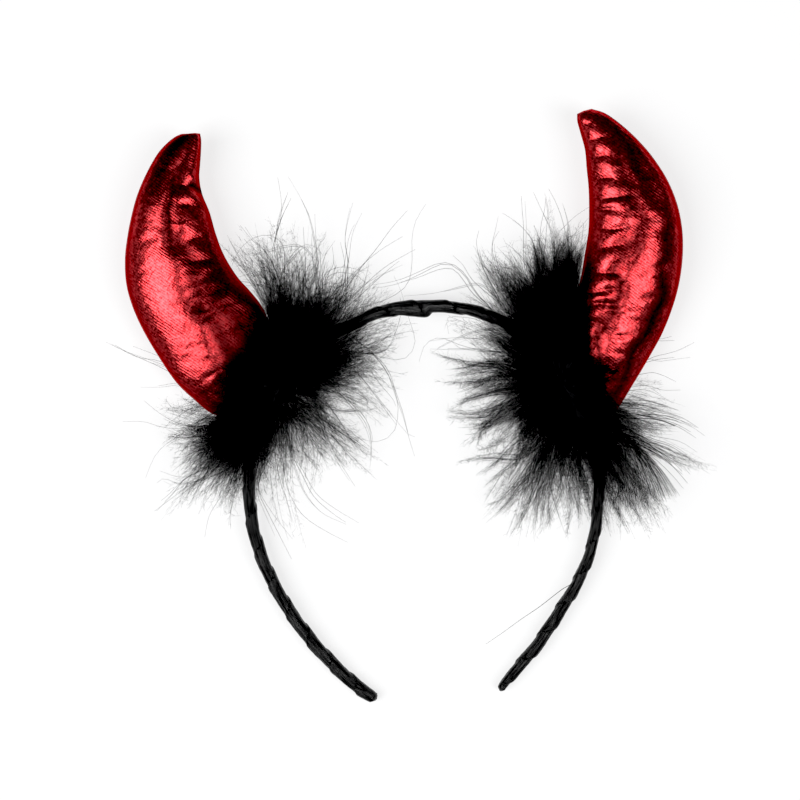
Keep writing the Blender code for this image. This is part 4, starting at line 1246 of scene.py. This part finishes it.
def tapered(n, count, low, high, tip, rng):
    share = np.linspace(0, 1, count)
    return rng.uniform(low, high, n)[:, None] * (1 - (1 - tip) * share**1.4)[None] * MM


def piece_of(name, points, widths, rng, look):
    verts, quads = ribbons(points, widths, rng)
    return mesh_object(name, verts, quads, look)


def vane(ground, rng):
    """The flat fan of close barbs below the right tuft, each side of its quill."""
    start_a, start_b = np.array([-1.37, 0.67]) + np.array([[212, -19], [238, -40]]) * 0.35035
    end_a, end_b = np.array([-1.37, 0.67]) + np.array([[219, -109], [279, -88]]) * 0.35035
    count, rows = 10, []
    share = np.linspace(0, 1, count)
    for layer in range(2):
        for u in np.linspace(0, 1, 130):
            u2 = np.clip(u + rng.normal(0, 0.006), 0, 1)
            a = start_a + (start_b - start_a) * u2 + rng.normal(0, 0.25, 2)
            b = end_a + (end_b - end_a) * u2 + rng.normal(0, 0.12, 2)
            b = a + (b - a) * (rng.uniform(0.86, 1.0) if rng.uniform() < 0.8 else rng.uniform(1, 1.06))
            line = a + (b - a) * share[:, None]
            line = line + np.array([0.6, 0.4]) * np.sin(share * np.pi)[:, None]
            z = 9.0 - 4.0 * share + 1.5 * np.sin(share * np.pi) + layer * 0.5 + rng.normal(0, 0.12)
            rows.append(np.column_stack([line, z]) * MM)
    return settle(np.array(rows))


def fluff(side, middle, reach, table, ground, band_points, look, grey_look, seed, style):
    # Each stage draws from its own generator, so a strand left out in one changes no other.
    rng = np.random.default_rng([seed, 1])
    dark, grid = heart(f"{side}_down_heart", middle, reach, look, seed)
    pieces = [dark]

    short, fine = cover(grid, middle, reach, 9000, rng)
    kept = is_free(short, ground, 2, rng, 0.3, middle, reach)
    short, fine = short[kept], fine[kept]
    widths = tapered(len(short), 5, 0.11, 0.19, 0.2, rng) * fine[:, None]
    pieces.append(piece_of(f"{side}_down_cover", short, widths, rng, look))

    rng = np.random.default_rng([seed, 2])
    around = guides_around(
        middle, reach, style["locks"], -12, 70, 0.42, 0.82, style["curl"], rng
    )
    hair = locks(around, style["per_lock"], style["spread"], style["gather"], rng)
    rng = np.random.default_rng([seed, 3])
    if side == "right":
        drawn = lock_guides(RIGHT_LOCKS, rng)
        hair = np.vstack([hair, locks(drawn, 13, 1.3, 0.88, rng)])
    hair = free_of(hair, ground, 2, rng, 0.01, middle, reach)
    pieces.append(
        piece_of(
            f"{side}_down_barbs", hair, tapered(len(hair), 9, 0.08, 0.14, 0.3, rng), rng, look
        )
    )

    rng = np.random.default_rng([seed, 4])
    far = long_strands(table, ground, band_points, style["extra"], rng)
    widths = tapered(len(far), far.shape[1], 0.14, 0.22, 0.4, rng)
    if side == "right":
        fan = long_strands(RIGHT_FAN, ground, band_points, 8, rng)
        widths = np.vstack([widths, tapered(len(fan), fan.shape[1], 0.20, 0.36, 0.35, rng)])
        far = np.vstack([far, fan])
    verts, quads = tubes(far, widths)
    pieces.append(mesh_object(f"{side}_down_long", verts, quads, look))

    for part, total, long in (("near", 72000, 4.0), ("outer", 26000, 6.5)):
        rng = np.random.default_rng([seed, 5, total])
        soft = fuzz_on(hair, total, long, rng, 2 if part == "near" else 3, middle, reach)
        soft = free_of(soft, ground, 0, rng, 0.02, middle, reach)
        widths = tapered(len(soft), soft.shape[1], 0.045, 0.075, 0.5, rng)
        pieces.append(piece_of(f"{side}_down_fuzz_{part}", soft, widths, rng, grey_look))
    if side == "right":
        rng = np.random.default_rng([seed, 6])
        fan = vane(ground, rng)
        pieces.append(
            piece_of("right_down_vane", fan, tapered(len(fan), 10, 0.075, 0.115, 0.7, rng), rng, look)
        )
        quill = long_strands(VANE_QUILL, ground, band_points, 0, rng)
        stray = long_strands(STRAY_WISP, ground, band_points, 2, rng)
        both = np.vstack([quill, stray])
        verts, quads = tubes(both, tapered(len(both), both.shape[1], 0.2, 0.26, 0.3, rng))
        pieces.append(mesh_object("right_down_quill", verts, quads, look))
    return pieces


def lock_guides(table, rng):
    made = []
    for row in table:
        path = np.array(row, float)
        fine = smooth_rows(path, 12)
        flat, _ = resampled(fine, fine[:, :2], 9)
        share = np.linspace(0, 1, 9)
        start, end = rng.uniform(5, 12), rng.uniform(3, 15)
        z = start + (end - start) * share + 2.0 * np.sin(np.pi * share)
        made.append(np.column_stack([flat, z]) * MM)
    return np.array(made)


# ------------------------------------------------------------------ the whole
make_camera()
make_floor()
make_light()

foil = foil_cloth()
satin = satin_ribbon()
down = marabou("black_marabou", (0.0012, 0.0012, 0.0014), (0.0026, 0.0026, 0.0030))

left_horn, left_surface = horn(
    "left_horn_cloth", LEFT_HORN, LEFT_CREASES, LEFT_FOLDS, LEFT_HOLLOWS, LEFT_RIDGE, foil, 0.0
)
right_horn, right_surface = horn(
    "right_horn_cloth", RIGHT_HORN, RIGHT_CREASES, RIGHT_FOLDS, RIGHT_HOLLOWS, RIGHT_RIDGE, foil, 11.0
)
ribbon_band = band("ribbon_band", satin)
ground = Ground([left_surface, right_surface])

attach(left_horn, "root")
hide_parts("left_horn")
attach(right_horn, "root")
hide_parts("right_horn")
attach(ribbon_band, "root")
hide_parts("headband")

band_points = lie(np.array([(x, y, 0.0) for x, y, _ in resampled_route(BAND_ROUTE, 2.0)]))
LEFT_STYLE = {
    "locks": 560, "per_lock": 10, "spread": 3.0, "gather": 0.30, "curl": 0.42,
    "extra": 3,
}
RIGHT_STYLE = {
    "locks": 560, "per_lock": 10, "spread": 2.4, "gather": 0.72, "curl": 0.22,
    "extra": 2,
}
for side, middle, reach, table, node, seed, style in (
    ("left", LEFT_MIDDLE, LEFT_REACH, LEFT_WISPS, "left_fluff", 5, LEFT_STYLE),
    ("right", RIGHT_MIDDLE, RIGHT_REACH, RIGHT_WISPS, "right_fluff", 23, RIGHT_STYLE),
):
    made = fluff(side, middle, reach, table, ground, band_points, down, down, seed, style)
    for piece in made:
        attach(piece, "root")
    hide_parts(node)

bpy.context.view_layer.update()
